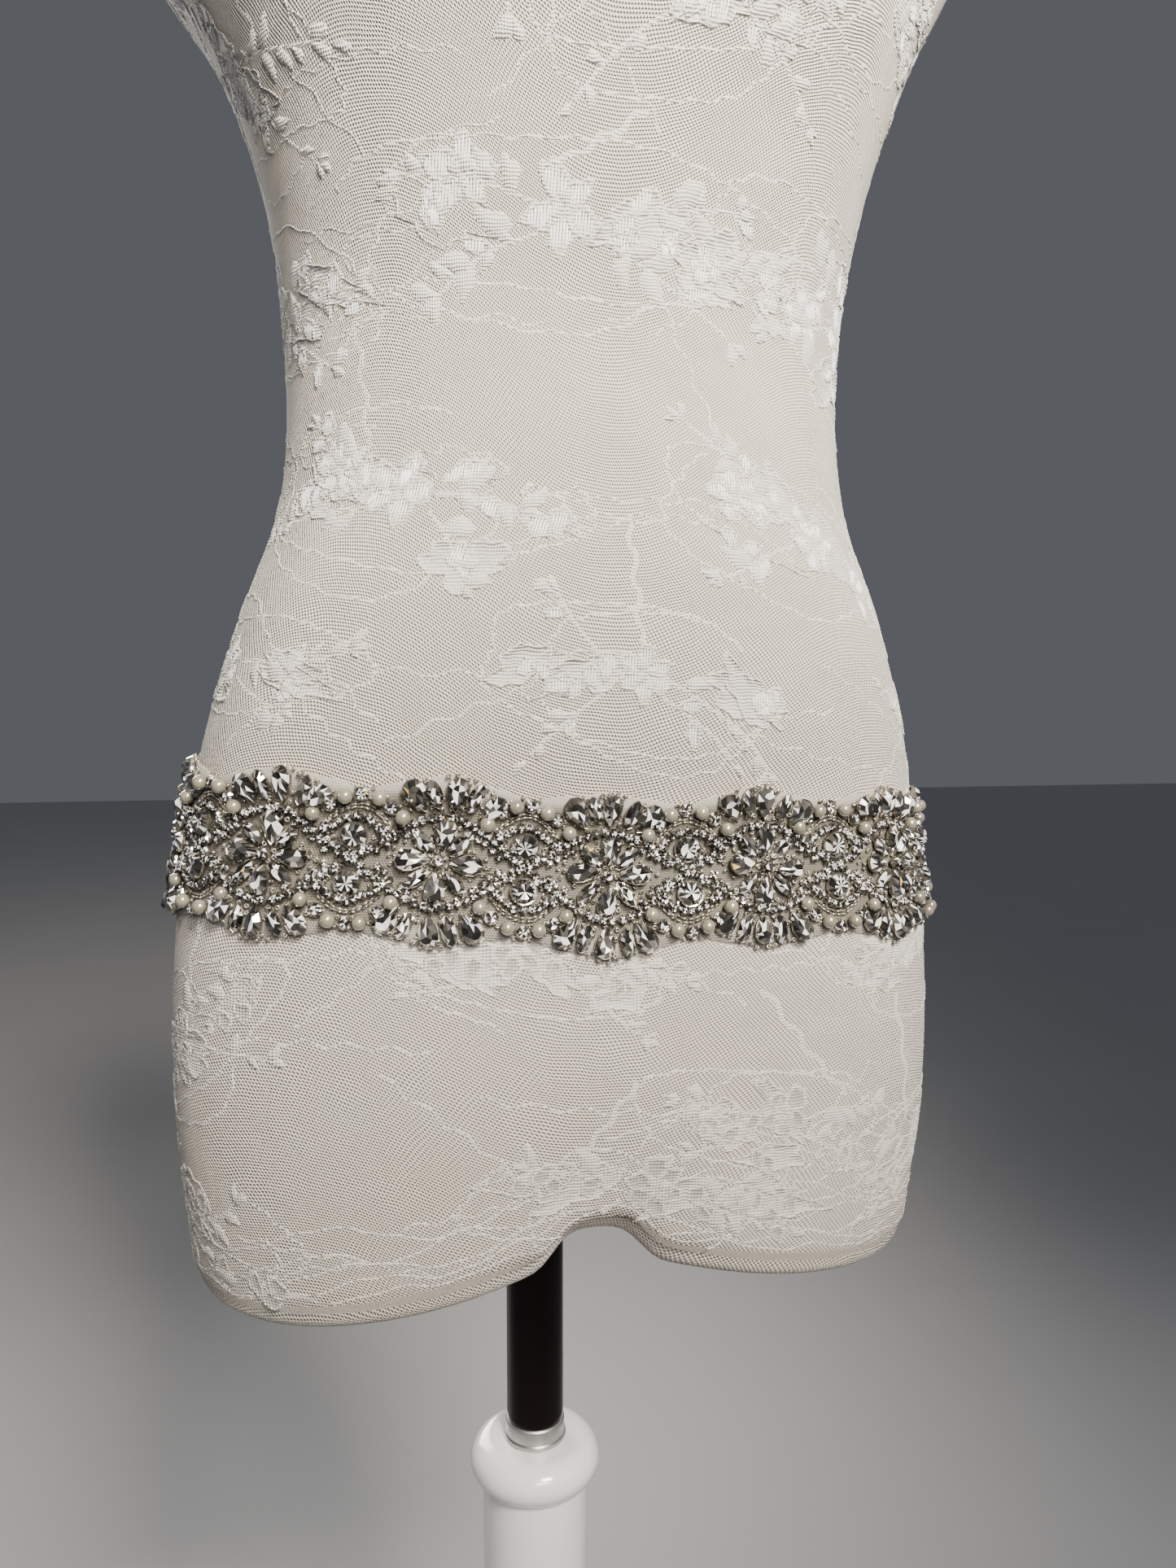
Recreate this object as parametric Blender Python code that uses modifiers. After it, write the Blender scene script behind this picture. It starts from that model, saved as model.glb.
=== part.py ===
"""A bridal sash of crystal and pearl clusters on a net band, worn by a limbless dress form on a turned stand.

Metres, +Z up. The origin is on the floor under the pole, and the form faces -Y.
A place on the sash is given as across (mm along its middle line, towards +X at the front), up (mm) and out (mm).
"""

import bisect
import math

import bmesh
import bpy
from mathutils import Vector
from mathutils.geometry import delaunay_2d_cdt

MM = 0.001

# The dress form, one row for each level from its lower edge up to its neck.
FORM_COLUMNS = ("height", "half_width", "centre_y", "front_depth", "back_depth", "squareness")
FORM_LEVELS = (
    (0.698, 0.1457, -0.046, 0.096, 0.126, 3.0),
    (0.740, 0.1493, -0.049, 0.095, 0.144, 3.2),
    (0.780, 0.1513, -0.052, 0.092, 0.159, 3.3),
    (0.830, 0.1500, -0.052, 0.090, 0.162, 3.35),
    (0.870, 0.1455, -0.051, 0.089, 0.151, 3.3),
    (0.910, 0.1370, -0.061, 0.087, 0.143, 3.0),
    (0.950, 0.1242, -0.068, 0.084, 0.127, 2.75),
    (0.995, 0.1088, -0.071, 0.080, 0.102, 2.5),
    (1.050, 0.1066, -0.070, 0.079, 0.096, 2.4),
    (1.105, 0.1132, -0.075, 0.082, 0.104, 2.4),
    (1.160, 0.1319, -0.074, 0.090, 0.114, 2.4),
    (1.210, 0.1610, -0.056, 0.098, 0.114, 2.5),
    (1.250, 0.1810, -0.040, 0.100, 0.112, 2.5),
    (1.310, 0.1900, -0.026, 0.096, 0.106, 2.6),
    (1.365, 0.1880, -0.012, 0.084, 0.090, 2.6),
    (1.400, 0.1660, -0.004, 0.068, 0.074, 2.4),
    (1.425, 0.1210, 0.000, 0.058, 0.062, 2.2),
    (1.445, 0.0800, 0.000, 0.053, 0.058, 2.1),
    (1.468, 0.0600, -0.002, 0.050, 0.054, 2.0),
    (1.510, 0.0550, -0.004, 0.049, 0.051, 2.0),
)
FORM_SIDES = 36
BUST_HEIGHT = 1.205
BUST_APART = 0.150
BUST_SPREAD = 0.064
BUST_RISE = 0.017
BOTTOM_HEIGHT = 0.699
EDGE_TILT = 0.010
ARCH_RISE = 0.0166
ARCH_HALF_WIDTH = 0.077
CROTCH_RISE = 0.0115
CROTCH_HALF_WIDTH = 0.018
FORK_DEPTH = 0.014
FORK_TOP = 0.800
FORK_HALF_WIDTH = 0.036
SKIRT_TOP = 0.780

# The stand under the form.
POLE_RADIUS = 0.0137
FERRULE_RADIUS = 0.0141
FERRULE_HEIGHT = 0.0096
COLLAR_TOP = 0.566
COLLAR_RADIUS = 0.0314
COLLAR_ROUND = 0.010
COLUMN_RADIUS = 0.0252
FOOT_RADIUS = 0.180
FOOT_EDGE = 0.018
FOOT_TOP = 0.040
TOUCHING_GAP = 0.0003

# The sash on the form.
SASH_HEIGHT = 0.865
TILT_ACROSS = -0.046
TILT_FORWARD = 0.009
SAG = 4.3
SAG_HALF_LENGTH = 32.0
LINE_STEPS = 1440
LINE_BUNCHING = 0.245
FIRST_MEDALLION = -7
LAST_MEDALLION = 8
FRONT_MEDALLION_ACROSS = 0.0
DRAWN_REPEAT = 56.8
CLOSURE_GAP = 22.0
MEDALLION_HALF_WIDTH = 17.6
NET_INNER = 0.5
NET_THICKNESS = 1.0
NET_EDGE_MEAN = 27.2
NET_EDGE_SCALLOP = 1.9
NET_STEPS_PER_REPEAT = 6
NET_END_GAP = 6.0
PLATE_INNER = 2.0
PLATE_THICKNESS = 0.7
TAB_WIDTH = 14.0
TAB_HEIGHT = 44.0
TAB_THICKNESS = 1.0
INNER_GRID = 11.0

# Stones: the length and width of their base, and how far they rise from the plate.
TEARDROP = {"length": 10.0, "width": 5.8, "rise": 3.4}
MARQUISE = {"length": 9.2, "width": 4.2, "rise": 3.2}
PEARL = {"radius": 2.55, "sides": 6, "rise": 4.4}
SMALL_ROUND = {"radius": 2.15, "sides": 4, "rise": 3.0}
LARGE_ROUND = {"radius": 4.3, "sides": 6, "rise": 4.0, "table": 0.62}
FLOWER_CENTRE = {"radius": 2.3, "sides": 6, "rise": 3.8}
PETAL_START = 3.3

# The upper fan of a medallion; the lower one is its mirror.
FAN_COLUMNS = ("shape", "across", "up", "lean")
FAN = (
    ("teardrop", -12.9, 20.4, -33),
    ("marquise", -7.0, 21.7, -16),
    ("teardrop", 0.0, 22.0, 0),
    ("marquise", 7.0, 21.7, 16),
    ("teardrop", 12.9, 20.4, 33),
)

# The upper border of a link between two medallions, one side of its middle; the lower one is its mirror.
BORDER_COLUMNS = ("stone", "across", "up")
BORDER = (
    ("round", 0.0, 21.3),
    ("pearl", 5.4, 20.2),
    ("round", 10.0, 17.5),
    ("pearl", 14.3, 14.1),
)
LARGE_ROUND_UP = 7.8

# One quarter of each cluster's outline, from its top to its side.
MEDALLION_QUARTER = (
    (0.0, 27.9),
    (9.0, 27.2),
    (17.6, 24.4),
    (16.45, 19.85),
    (11.85, 16.7),
    (10.7, 14.1),
    (11.9, 6.4),
    (14.6, 0.0),
)
LINK_QUARTER = (
    (0.0, 23.8),
    (6.6, 23.2),
    (11.75, 19.42),
    (16.35, 16.25),
    (17.2, 14.0),
    (14.6, 7.4),
    (9.6, 3.2),
    (4.2, 0.0),
)


def level_at(height):
    """The form's sizes at a height, on smooth curves through the rows of FORM_LEVELS."""
    rows = FORM_LEVELS
    last = len(rows) - 2
    index = min(max(bisect.bisect_right([r[0] for r in rows], height) - 1, 0), last)
    low, high = rows[index], rows[index + 1]
    before, after = rows[max(index - 1, 0)], rows[min(index + 2, last + 1)]
    span = high[0] - low[0]
    t = min(max((height - low[0]) / span, 0.0), 1.0)
    sizes = []
    for column in range(1, len(FORM_COLUMNS)):
        slope_low = (high[column] - before[column]) / (high[0] - before[0]) * span
        slope_high = (after[column] - low[column]) / (after[0] - low[0]) * span
        sizes.append(
            (2 * t**3 - 3 * t**2 + 1) * low[column]
            + (t**3 - 2 * t**2 + t) * slope_low
            + (3 * t**2 - 2 * t**3) * high[column]
            + (t**3 - t**2) * slope_high
        )
    return sizes


def bell(value):
    return math.exp(-value * value)


def form_point(angle, height):
    """A point of the form's surface. Angle 0 is the front and a quarter turn is +X."""
    half_width, centre_y, front_depth, back_depth, squareness = level_at(height)
    across, ahead = math.sin(angle), math.cos(angle)
    power = 2 / squareness
    x = math.copysign(half_width * abs(across) ** power, across)
    depth = front_depth if ahead > 0 else back_depth
    y = centre_y - math.copysign(depth * abs(ahead) ** power, ahead)
    if ahead > 0:
        sides = bell((x - BUST_APART / 2) / BUST_SPREAD) + bell((x + BUST_APART / 2) / BUST_SPREAD)
        y -= BUST_RISE * sides * bell((height - BUST_HEIGHT) / BUST_SPREAD) * ahead
    low = min(max((FORK_TOP - height) / (FORK_TOP - BOTTOM_HEIGHT), 0.0), 1.0)
    y += math.copysign(FORK_DEPTH * low * low * bell(x / FORK_HALF_WIDTH) * abs(ahead), ahead)
    return Vector((x, y, height))


def bottom_height(x):
    """The height of the form's lower edge, arched between its two sides, with a notch at the crotch."""
    arch = ARCH_RISE * bell(x / ARCH_HALF_WIDTH)
    return BOTTOM_HEIGHT - EDGE_TILT * x + arch + CROTCH_RISE * bell((x / CROTCH_HALF_WIDTH) ** 2)


def middle_line():
    """The angles of the form's surface against the length of the sash's middle line, from the back round.

    The steps are close together at the front, back and sides, where the squared section turns fastest with angle.
    """
    out = (PLATE_INNER + PLATE_THICKNESS) * MM
    even = [-math.pi + 2 * math.pi * i / LINE_STEPS for i in range(LINE_STEPS + 1)]
    angles = [turn - LINE_BUNCHING * math.sin(4 * turn) for turn in even]
    points = [form_point(a, SASH_HEIGHT) for a in angles]
    lengths = [0.0]
    for i in range(LINE_STEPS):
        run = points[i + 1] - points[i]
        turn = out * (angles[i + 1] - angles[i])
        lengths.append(lengths[-1] + run.length + turn)
    front = lengths[LINE_STEPS // 2]
    return [(length - front) / MM for length in lengths], angles


LENGTHS, ANGLES = middle_line()
GIRTH = LENGTHS[-1] - LENGTHS[0]
REPEATS = LAST_MEDALLION - FIRST_MEDALLION
REPEAT = (GIRTH - CLOSURE_GAP - 2 * MEDALLION_HALF_WIDTH) / REPEATS
SASH_MIDDLE = FRONT_MEDALLION_ACROSS + REPEAT * (FIRST_MEDALLION + LAST_MEDALLION) / 2
TRIM_SCALE = REPEAT / DRAWN_REPEAT


def angle_at(across):
    """The angle on the form at a length across the sash."""
    wrapped = (across - LENGTHS[0]) % GIRTH + LENGTHS[0]
    index = min(max(bisect.bisect_right(LENGTHS, wrapped) - 1, 0), len(LENGTHS) - 2)
    share = (wrapped - LENGTHS[index]) / (LENGTHS[index + 1] - LENGTHS[index])
    return ANGLES[index] + (ANGLES[index + 1] - ANGLES[index]) * share


def sash_point(across, up, out):
    """A point on or over the form under the sash."""
    angle = angle_at(across)
    middle = form_point(angle, SASH_HEIGHT)
    sag = SAG * bell((across - FRONT_MEDALLION_ACROSS) / SAG_HALF_LENGTH)
    tilt = TILT_ACROSS * middle.x + TILT_FORWARD * (middle.y - FORM_LEVELS[4][2])
    height = SASH_HEIGHT + tilt + (up - sag) * MM
    small_turn, small_rise = 0.01, 0.002
    along = form_point(angle + small_turn, height) - form_point(angle - small_turn, height)
    upward = form_point(angle, height + small_rise) - form_point(angle, height - small_rise)
    return form_point(angle, height) + along.cross(upward).normalized() * out * MM


def material(name, colour, roughness, metallic=0.0):
    made = bpy.data.materials.get(name) or bpy.data.materials.new(name)
    made.use_nodes = True
    shader = made.node_tree.nodes["Principled BSDF"]
    shader.inputs["Base Color"].default_value = (*colour, 1.0)
    shader.inputs["Roughness"].default_value = roughness
    shader.inputs["Metallic"].default_value = metallic
    made.diffuse_color = (*colour, 1.0)
    return made


def add_object(name, mesh, finish, collection):
    made = bpy.data.objects.new(name, mesh)
    collection.objects.link(made)
    mesh.materials.append(finish)
    return made


def mesh_from(shape, name):
    """A mesh from a bmesh, with its faces turned out."""
    bmesh.ops.recalc_face_normals(shape, faces=shape.faces)
    mesh = bpy.data.meshes.new(name)
    shape.to_mesh(mesh)
    shape.free()
    return mesh


def join_rings(shape, rings):
    """Faces between each closed ring of points and the next."""
    for low, high in zip(rings, rings[1:]):
        for i in range(len(low)):
            after = (i + 1) % len(low)
            shape.faces.new((low[i], low[after], high[after], high[i]))


def dress_form(finish, collection):
    """The torso: rings round it, a rounded and arched lower edge, and a flat underside at the pole."""
    angles = [2 * math.pi * i / FORM_SIDES for i in range(FORM_SIDES)]
    body_heights = (
        0.780, 0.815, 0.840, 0.858, 0.876, 0.894, 0.912, 0.950, 0.985, 1.020, 1.055, 1.095,
        1.130, 1.165, 1.200, 1.235, 1.275, 1.320, 1.365, 1.390, 1.412, 1.432, 1.450, 1.470, 1.510,
    )
    socket_radius = 0.028
    socket_height = bottom_height(0.0)
    under = []
    for shrink, lift in ((0.22, 0.0), (0.03, 0.001), (0.0, 0.008)):
        ring = []
        for angle in angles:
            edge = form_point(angle, BOTTOM_HEIGHT)
            inner = Vector((0.0, 0.0, 0.0))
            point = edge.lerp(inner, shrink)
            point.z = bottom_height(point.x) + lift
            ring.append(point)
        under.append(ring)
    skirt = []
    for share in (0.55,):
        ring = []
        for angle in angles:
            edge = bottom_height(form_point(angle, BOTTOM_HEIGHT).x) + 0.008
            ring.append(form_point(angle, edge + (SKIRT_TOP - edge) * share))
        skirt.append(ring)
    socket = [
        Vector((socket_radius * math.sin(a), -socket_radius * math.cos(a), socket_height)) for a in angles
    ]
    body = [[form_point(a, h) for a in angles] for h in body_heights]
    shape = bmesh.new()
    rings = [[shape.verts.new(p) for p in ring] for ring in [socket, *under, *skirt, *body]]
    join_rings(shape, rings)
    shape.faces.new(rings[0])
    shape.faces.new(rings[-1])
    return add_object("dress_form", mesh_from(shape, "dress_form"), finish, collection)


def turned(name, profile, sides, finish, collection):
    """A closed shape turned about the Z axis from a profile of radius and height, from its top down."""
    mesh = bpy.data.meshes.new(name)
    points = [(radius, 0.0, height) for radius, height in profile]
    mesh.from_pydata(points, [(i, i + 1) for i in range(len(points) - 1)], [])
    made = add_object(name, mesh, finish, collection)
    screw = made.modifiers.new("turn", "SCREW")
    screw.axis = "Z"
    screw.steps = sides
    screw.render_steps = sides
    screw.use_merge_vertices = True
    screw.merge_threshold = 0.00005
    screw.use_smooth_shade = True
    return made


def stand(white_paint, dark_pole, grey_ring, collection):
    """The pole, the ring it stands in, the collared column and the round foot."""
    pole_low = COLLAR_TOP + FERRULE_HEIGHT + TOUCHING_GAP
    pole_high = bottom_height(0.0) - TOUCHING_GAP
    rod = [(0.0, pole_high), (POLE_RADIUS, pole_high), (POLE_RADIUS, pole_low), (0.0, pole_low)]
    turned("pole", rod, 20, dark_pole, collection)
    ring_low, ring_high = COLLAR_TOP + TOUCHING_GAP, COLLAR_TOP + FERRULE_HEIGHT
    ring = [(0.0, ring_high), (FERRULE_RADIUS, ring_high), (FERRULE_RADIUS, ring_low), (0.0, ring_low)]
    turned("pole_ring", ring, 20, grey_ring, collection)
    collar_middle = COLLAR_RADIUS - COLLAR_ROUND
    collar = [
        (
            collar_middle + COLLAR_ROUND * math.sin(math.pi * i / 6),
            COLLAR_TOP - COLLAR_ROUND + COLLAR_ROUND * math.cos(math.pi * i / 6),
        )
        for i in range(6)
    ]
    column_low = FOOT_TOP + TOUCHING_GAP
    neck = COLLAR_TOP - 2 * COLLAR_ROUND + 0.0015
    column = [(0.0, COLLAR_TOP), *collar, (COLUMN_RADIUS, neck), (COLUMN_RADIUS, column_low), (0.0, column_low)]
    turned("stand_column", column, 24, white_paint, collection)
    foot = [
        (0.0, FOOT_TOP),
        (COLUMN_RADIUS + 0.012, FOOT_TOP),
        (COLUMN_RADIUS + 0.030, FOOT_TOP - 0.006),
        (FOOT_RADIUS * 0.62, FOOT_EDGE + 0.008),
        (FOOT_RADIUS - 0.012, FOOT_EDGE),
        (FOOT_RADIUS - 0.003, FOOT_EDGE - 0.004),
        (FOOT_RADIUS, FOOT_EDGE - 0.010),
        (FOOT_RADIUS - 0.002, 0.0),
        (0.0, 0.0),
    ]
    turned("stand_foot", foot, 32, white_paint, collection)


def net_edge(across):
    """Half the net's width, cut in scallops that follow the medallions."""
    turn = 2 * math.pi * (across - FRONT_MEDALLION_ACROSS) / REPEAT
    return NET_EDGE_MEAN + NET_EDGE_SCALLOP * math.cos(turn)


def wall_strip(name, columns, inner, outer, finish, collection):
    """A thin wall on the form: columns of (across, [up values]) with faces inside, outside and round the edge."""
    shape = bmesh.new()
    inside = [[shape.verts.new(sash_point(a, up, inner)) for up in ups] for a, ups in columns]
    outside = [[shape.verts.new(sash_point(a, up, outer)) for up in ups] for a, ups in columns]
    for left, right in zip(range(len(columns)), range(1, len(columns))):
        rows = len(columns[left][1])
        for row in range(rows - 1):
            for side in (inside, outside):
                shape.faces.new((side[left][row], side[right][row], side[right][row + 1], side[left][row + 1]))
        for row in (0, rows - 1):
            shape.faces.new((inside[left][row], inside[right][row], outside[right][row], outside[left][row]))
    for end in (0, len(columns) - 1):
        for row in range(len(columns[end][1]) - 1):
            shape.faces.new((inside[end][row], inside[end][row + 1], outside[end][row + 1], outside[end][row]))
    return add_object(name, mesh_from(shape, name), finish, collection)


def net_band(finish, collection):
    """The net that everything is sewn to, one strip with its two ends meeting at the back."""
    half = (GIRTH - NET_END_GAP) / 2
    steps = REPEATS * NET_STEPS_PER_REPEAT + 5
    columns = []
    for i in range(steps + 1):
        across = SASH_MIDDLE - half + 2 * half * i / steps
        edge = net_edge(across)
        columns.append((across, [-edge, -edge / 2, 0.0, edge / 2, edge]))
    wall_strip("net_band", columns, NET_INNER, NET_INNER + NET_THICKNESS, finish, collection)


def closure_tab(finish, collection):
    """The plain tab over the net's two ends at the back."""
    seam = SASH_MIDDLE + GIRTH / 2
    ups = [TAB_HEIGHT * (i / 5 - 0.5) for i in range(6)]
    columns = [(seam + TAB_WIDTH * (i / 3 - 0.5), ups) for i in range(4)]
    wall_strip("closure_tab", columns, PLATE_INNER, PLATE_INNER + TAB_THICKNESS, finish, collection)


def turned_about(points, across, up, lean):
    """Points turned by a lean in degrees, towards +across, and moved to a place."""
    cosine, sine = math.cos(math.radians(lean)), math.sin(math.radians(lean))
    return [(across + x * cosine + y * sine, up - x * sine + y * cosine) for x, y in points]


def pointed_stone(size, shape_name, across, up, lean):
    """The base points and the peak of a teardrop, wide end out, or of a marquise."""
    length, width, rise = size["length"], size["width"], size["rise"]
    if shape_name == "teardrop":
        base = [(0, -length / 2), (width / 2, length * 0.12), (width * 0.33, length * 0.46)]
        base += [(-width * 0.33, length * 0.46), (-width / 2, length * 0.12)]
        peak = [(0, length * 0.16)]
    else:
        base = [(0, -length / 2), (width / 2, 0), (0, length / 2), (-width / 2, 0)]
        peak = [(0, 0)]
    return {
        "base": turned_about(base, across, up, lean),
        "top": turned_about(peak, across, up, lean),
        "rise": rise,
    }


def round_stone(size, across, up):
    """The base points of a round stone or pearl, and its peak or its flat table."""
    radius, sides = size["radius"], size["sides"]

    def ring(r):
        turns = [2 * math.pi * (i + 0.5) / sides for i in range(sides)]
        return [(across + r * math.sin(t), up + r * math.cos(t)) for t in turns]

    table = size.get("table")
    top = ring(radius * table) if table else [(across, up)]
    return {"base": ring(radius), "top": top, "rise": size["rise"]}


def medallion_stones():
    """A flower of eight petals round a centre, with a fan of five stones over it and one under it."""
    stones = [round_stone(FLOWER_CENTRE, 0.0, 0.0)]
    for i in range(8):
        shape_name, size = ("teardrop", TEARDROP) if i % 2 == 0 else ("marquise", MARQUISE)
        reach = PETAL_START + size["length"] / 2
        lean = 45.0 * i
        across, up = reach * math.sin(math.radians(lean)), reach * math.cos(math.radians(lean))
        stones.append(pointed_stone(size, shape_name, across, up, lean))
    for shape_name, across, up, lean in FAN:
        size = TEARDROP if shape_name == "teardrop" else MARQUISE
        stones.append(pointed_stone(size, shape_name, across, up, lean))
        stones.append(pointed_stone(size, shape_name, across, -up, 180 - lean))
    return stones


def link_stones():
    """Two large round stones, and a border of pearls and small round stones over and under them."""
    stones = [round_stone(LARGE_ROUND, 0.0, up) for up in (LARGE_ROUND_UP, -LARGE_ROUND_UP)]
    for kind, across, up in BORDER:
        size = PEARL if kind == "pearl" else SMALL_ROUND
        for side in (1, -1) if across else (1,):
            for end in (1, -1):
                stones.append(round_stone(size, side * across, end * up))
    return stones


def whole_outline(quarter):
    """A closed outline from one quarter of it, mirrored left to right and top to bottom."""
    right = list(quarter) + [(x, -y) for x, y in reversed(quarter[:-1])]
    left = [(-x, y) for x, y in reversed(right[1:-1])]
    return right + left


def inside(point, outline):
    """Whether a point lies inside a closed outline."""
    found = False
    for (x1, y1), (x2, y2) in zip(outline, outline[1:] + outline[:1]):
        if (y1 > point[1]) != (y2 > point[1]) and point[0] < (x2 - x1) * (point[1] - y1) / (y2 - y1) + x1:
            found = not found
    return found


def triangles(points, loops):
    """Triangles over points that keep the loops' edges, inside the first loop."""
    edges = [(loop[i], loop[(i + 1) % len(loop)]) for loop in loops for i in range(len(loop))]
    flat = [Vector(p) for p in points]
    verts, _, faces, origins, _, _ = delaunay_2d_cdt(flat, edges, [], 1, 1e-5, True)
    if len(verts) != len(points):
        raise ValueError("two stones or an outline cross each other")
    source = [origin[0] for origin in origins]
    outline = [points[i] for i in loops[0]]
    kept = []
    for face in faces:
        corners = [points[source[i]] for i in face]
        if inside((sum(c[0] for c in corners) / 3, sum(c[1] for c in corners) / 3), outline):
            kept.append([source[i] for i in face])
    return kept


def cluster(name, middle, quarter, stones, finish, collection):
    """A thin plate on the net with stones raised in its outer points, and a plain inside."""
    outline = whole_outline(quarter)
    plate_out = PLATE_INNER + PLATE_THICKNESS
    points, heights = list(outline), [plate_out] * len(outline)
    loops = [list(range(len(outline)))]
    for stone in stones:
        for ring, height in ((stone["base"], plate_out), (stone["top"], plate_out + stone["rise"])):
            first = len(points)
            points += ring
            heights += [height] * len(ring)
            if len(ring) > 1:
                loops.append(list(range(first, len(points))))
    outer_faces = triangles(points, loops)
    grid = [(x * INNER_GRID, y * INNER_GRID) for x in (-1, 0, 1) for y in (-2, -1, 0, 1, 2)]
    near = 0.82
    under = list(outline) + [p for p in grid if inside((p[0] / near, p[1] / near), outline)]
    inner_faces = triangles(under, loops[:1])
    shape = bmesh.new()
    grow = TRIM_SCALE
    outer = [shape.verts.new(sash_point(middle + x * grow, y * grow, h)) for (x, y), h in zip(points, heights)]
    inner = [shape.verts.new(sash_point(middle + x * grow, y * grow, PLATE_INNER)) for x, y in under]
    for face in outer_faces:
        shape.faces.new([outer[i] for i in face])
    for face in inner_faces:
        shape.faces.new([inner[i] for i in reversed(face)])
    for i in range(len(outline)):
        after = (i + 1) % len(outline)
        shape.faces.new((outer[i], outer[after], inner[after], inner[i]))
    return add_object(name, mesh_from(shape, name), finish, collection)


def main():
    for old in list(bpy.data.objects):
        bpy.data.objects.remove(old)
    collection = bpy.data.collections.new("bridal_sash_on_form")
    bpy.context.scene.collection.children.link(collection)
    lace = material("lace_cover", (0.80, 0.78, 0.75), 0.75)
    white_paint = material("white_paint", (0.83, 0.82, 0.82), 0.25)
    dark_pole = material("dark_pole", (0.025, 0.018, 0.016), 0.15)
    grey_ring = material("grey_ring", (0.55, 0.55, 0.53), 0.4)
    net = material("net", (0.82, 0.79, 0.72), 0.6)
    crystal = material("crystal", (0.72, 0.70, 0.67), 0.15, 0.6)
    dress_form(lace, collection)
    stand(white_paint, dark_pole, grey_ring, collection)
    net_band(net, collection)
    closure_tab(net, collection)
    for number, index in enumerate(range(FIRST_MEDALLION, LAST_MEDALLION + 1), 1):
        middle = FRONT_MEDALLION_ACROSS + index * REPEAT
        stones = medallion_stones()
        cluster(f"medallion_{number:02d}", middle, MEDALLION_QUARTER, stones, crystal, collection)
        if index < LAST_MEDALLION:
            halfway = middle + REPEAT / 2
            cluster(f"link_{number:02d}", halfway, LINK_QUARTER, link_stones(), crystal, collection)


main()
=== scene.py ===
"""The looks of a bridal sash of crystals and pearls, worn round the hips of a lace-covered dress form."""

import math

import bpy
import numpy as np
from bpy.props import FloatProperty, FloatVectorProperty, IntProperty, PointerProperty
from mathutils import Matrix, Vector


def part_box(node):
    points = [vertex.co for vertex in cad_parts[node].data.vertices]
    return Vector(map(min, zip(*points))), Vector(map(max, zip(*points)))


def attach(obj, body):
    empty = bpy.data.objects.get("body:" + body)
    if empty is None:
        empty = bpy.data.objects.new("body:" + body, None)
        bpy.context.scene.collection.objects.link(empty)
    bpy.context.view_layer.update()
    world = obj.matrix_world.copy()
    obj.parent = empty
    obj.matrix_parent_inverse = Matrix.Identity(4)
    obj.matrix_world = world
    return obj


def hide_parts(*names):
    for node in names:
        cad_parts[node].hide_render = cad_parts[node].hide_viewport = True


bl_info = {
    "name": "Bridal Sash on a Dress Form",
    "version": (1, 0, 0),
    "blender": (4, 5, 0),
    "location": "3D View > Sidebar > Bridal Sash",
    "description": "Builds a crystal and pearl sash on a lace-covered dress form",
    "category": "Add Mesh",
}

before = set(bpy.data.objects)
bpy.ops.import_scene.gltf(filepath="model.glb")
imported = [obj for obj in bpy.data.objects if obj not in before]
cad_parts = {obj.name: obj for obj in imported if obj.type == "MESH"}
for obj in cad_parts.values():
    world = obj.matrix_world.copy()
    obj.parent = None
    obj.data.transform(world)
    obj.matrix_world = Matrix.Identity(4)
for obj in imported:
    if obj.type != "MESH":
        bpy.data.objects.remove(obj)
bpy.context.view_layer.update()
MM = 0.001

# The dress form, one row for each level from its lower edge up to its neck.
# Columns: height, half width, centre y, front depth, back depth, squareness.
FORM_LEVELS = np.array((
    (0.698, 0.1457, -0.046, 0.096, 0.126, 3.0),
    (0.740, 0.1493, -0.049, 0.095, 0.144, 3.2),
    (0.780, 0.1513, -0.052, 0.092, 0.159, 3.3),
    (0.830, 0.1500, -0.052, 0.090, 0.162, 3.35),
    (0.870, 0.1455, -0.051, 0.089, 0.151, 3.3),
    (0.910, 0.1370, -0.061, 0.087, 0.143, 3.0),
    (0.950, 0.1242, -0.068, 0.084, 0.127, 2.75),
    (0.995, 0.1088, -0.071, 0.080, 0.102, 2.5),
    (1.050, 0.1066, -0.070, 0.079, 0.096, 2.4),
    (1.105, 0.1132, -0.075, 0.082, 0.104, 2.4),
    (1.160, 0.1319, -0.074, 0.090, 0.114, 2.4),
    (1.210, 0.1610, -0.056, 0.098, 0.114, 2.5),
    (1.250, 0.1810, -0.040, 0.100, 0.112, 2.5),
    (1.310, 0.1900, -0.026, 0.096, 0.106, 2.6),
    (1.365, 0.1880, -0.012, 0.084, 0.090, 2.6),
    (1.400, 0.1660, -0.004, 0.068, 0.074, 2.4),
    (1.425, 0.1210, 0.000, 0.058, 0.062, 2.2),
    (1.445, 0.0800, 0.000, 0.053, 0.058, 2.1),
    (1.468, 0.0600, -0.002, 0.050, 0.054, 2.0),
    (1.510, 0.0550, -0.004, 0.049, 0.051, 2.0),
))
NECK_TOP = 1.510
BUST_HEIGHT, BUST_APART, BUST_SPREAD, BUST_RISE = 1.205, 0.150, 0.064, 0.017
# The lower edge: its height, its fall for each metre to the right, its broad arch and its narrow notch.
BOTTOM_HEIGHT, EDGE_TILT, ARCH_RISE, ARCH_HALF_WIDTH = 0.699, 0.010, 0.0166, 0.077
CROTCH_RISE, CROTCH_HALF_WIDTH = 0.0115, 0.018
# The hollow over the arch, in front and behind.
FORK_DEPTH, FORK_TOP, FORK_HALF_WIDTH = 0.014, 0.800, 0.036

# The sash. Its height is in metres and its other lengths are in millimetres, counted from the form's front.
SASH_HEIGHT = 0.865
# How much it rises for each metre to the right, and for each metre back.
TILT_ACROSS, TILT_FORWARD = -0.046, 0.009
SAG, SAG_HALF_LENGTH = 4.3, 32.0
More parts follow.
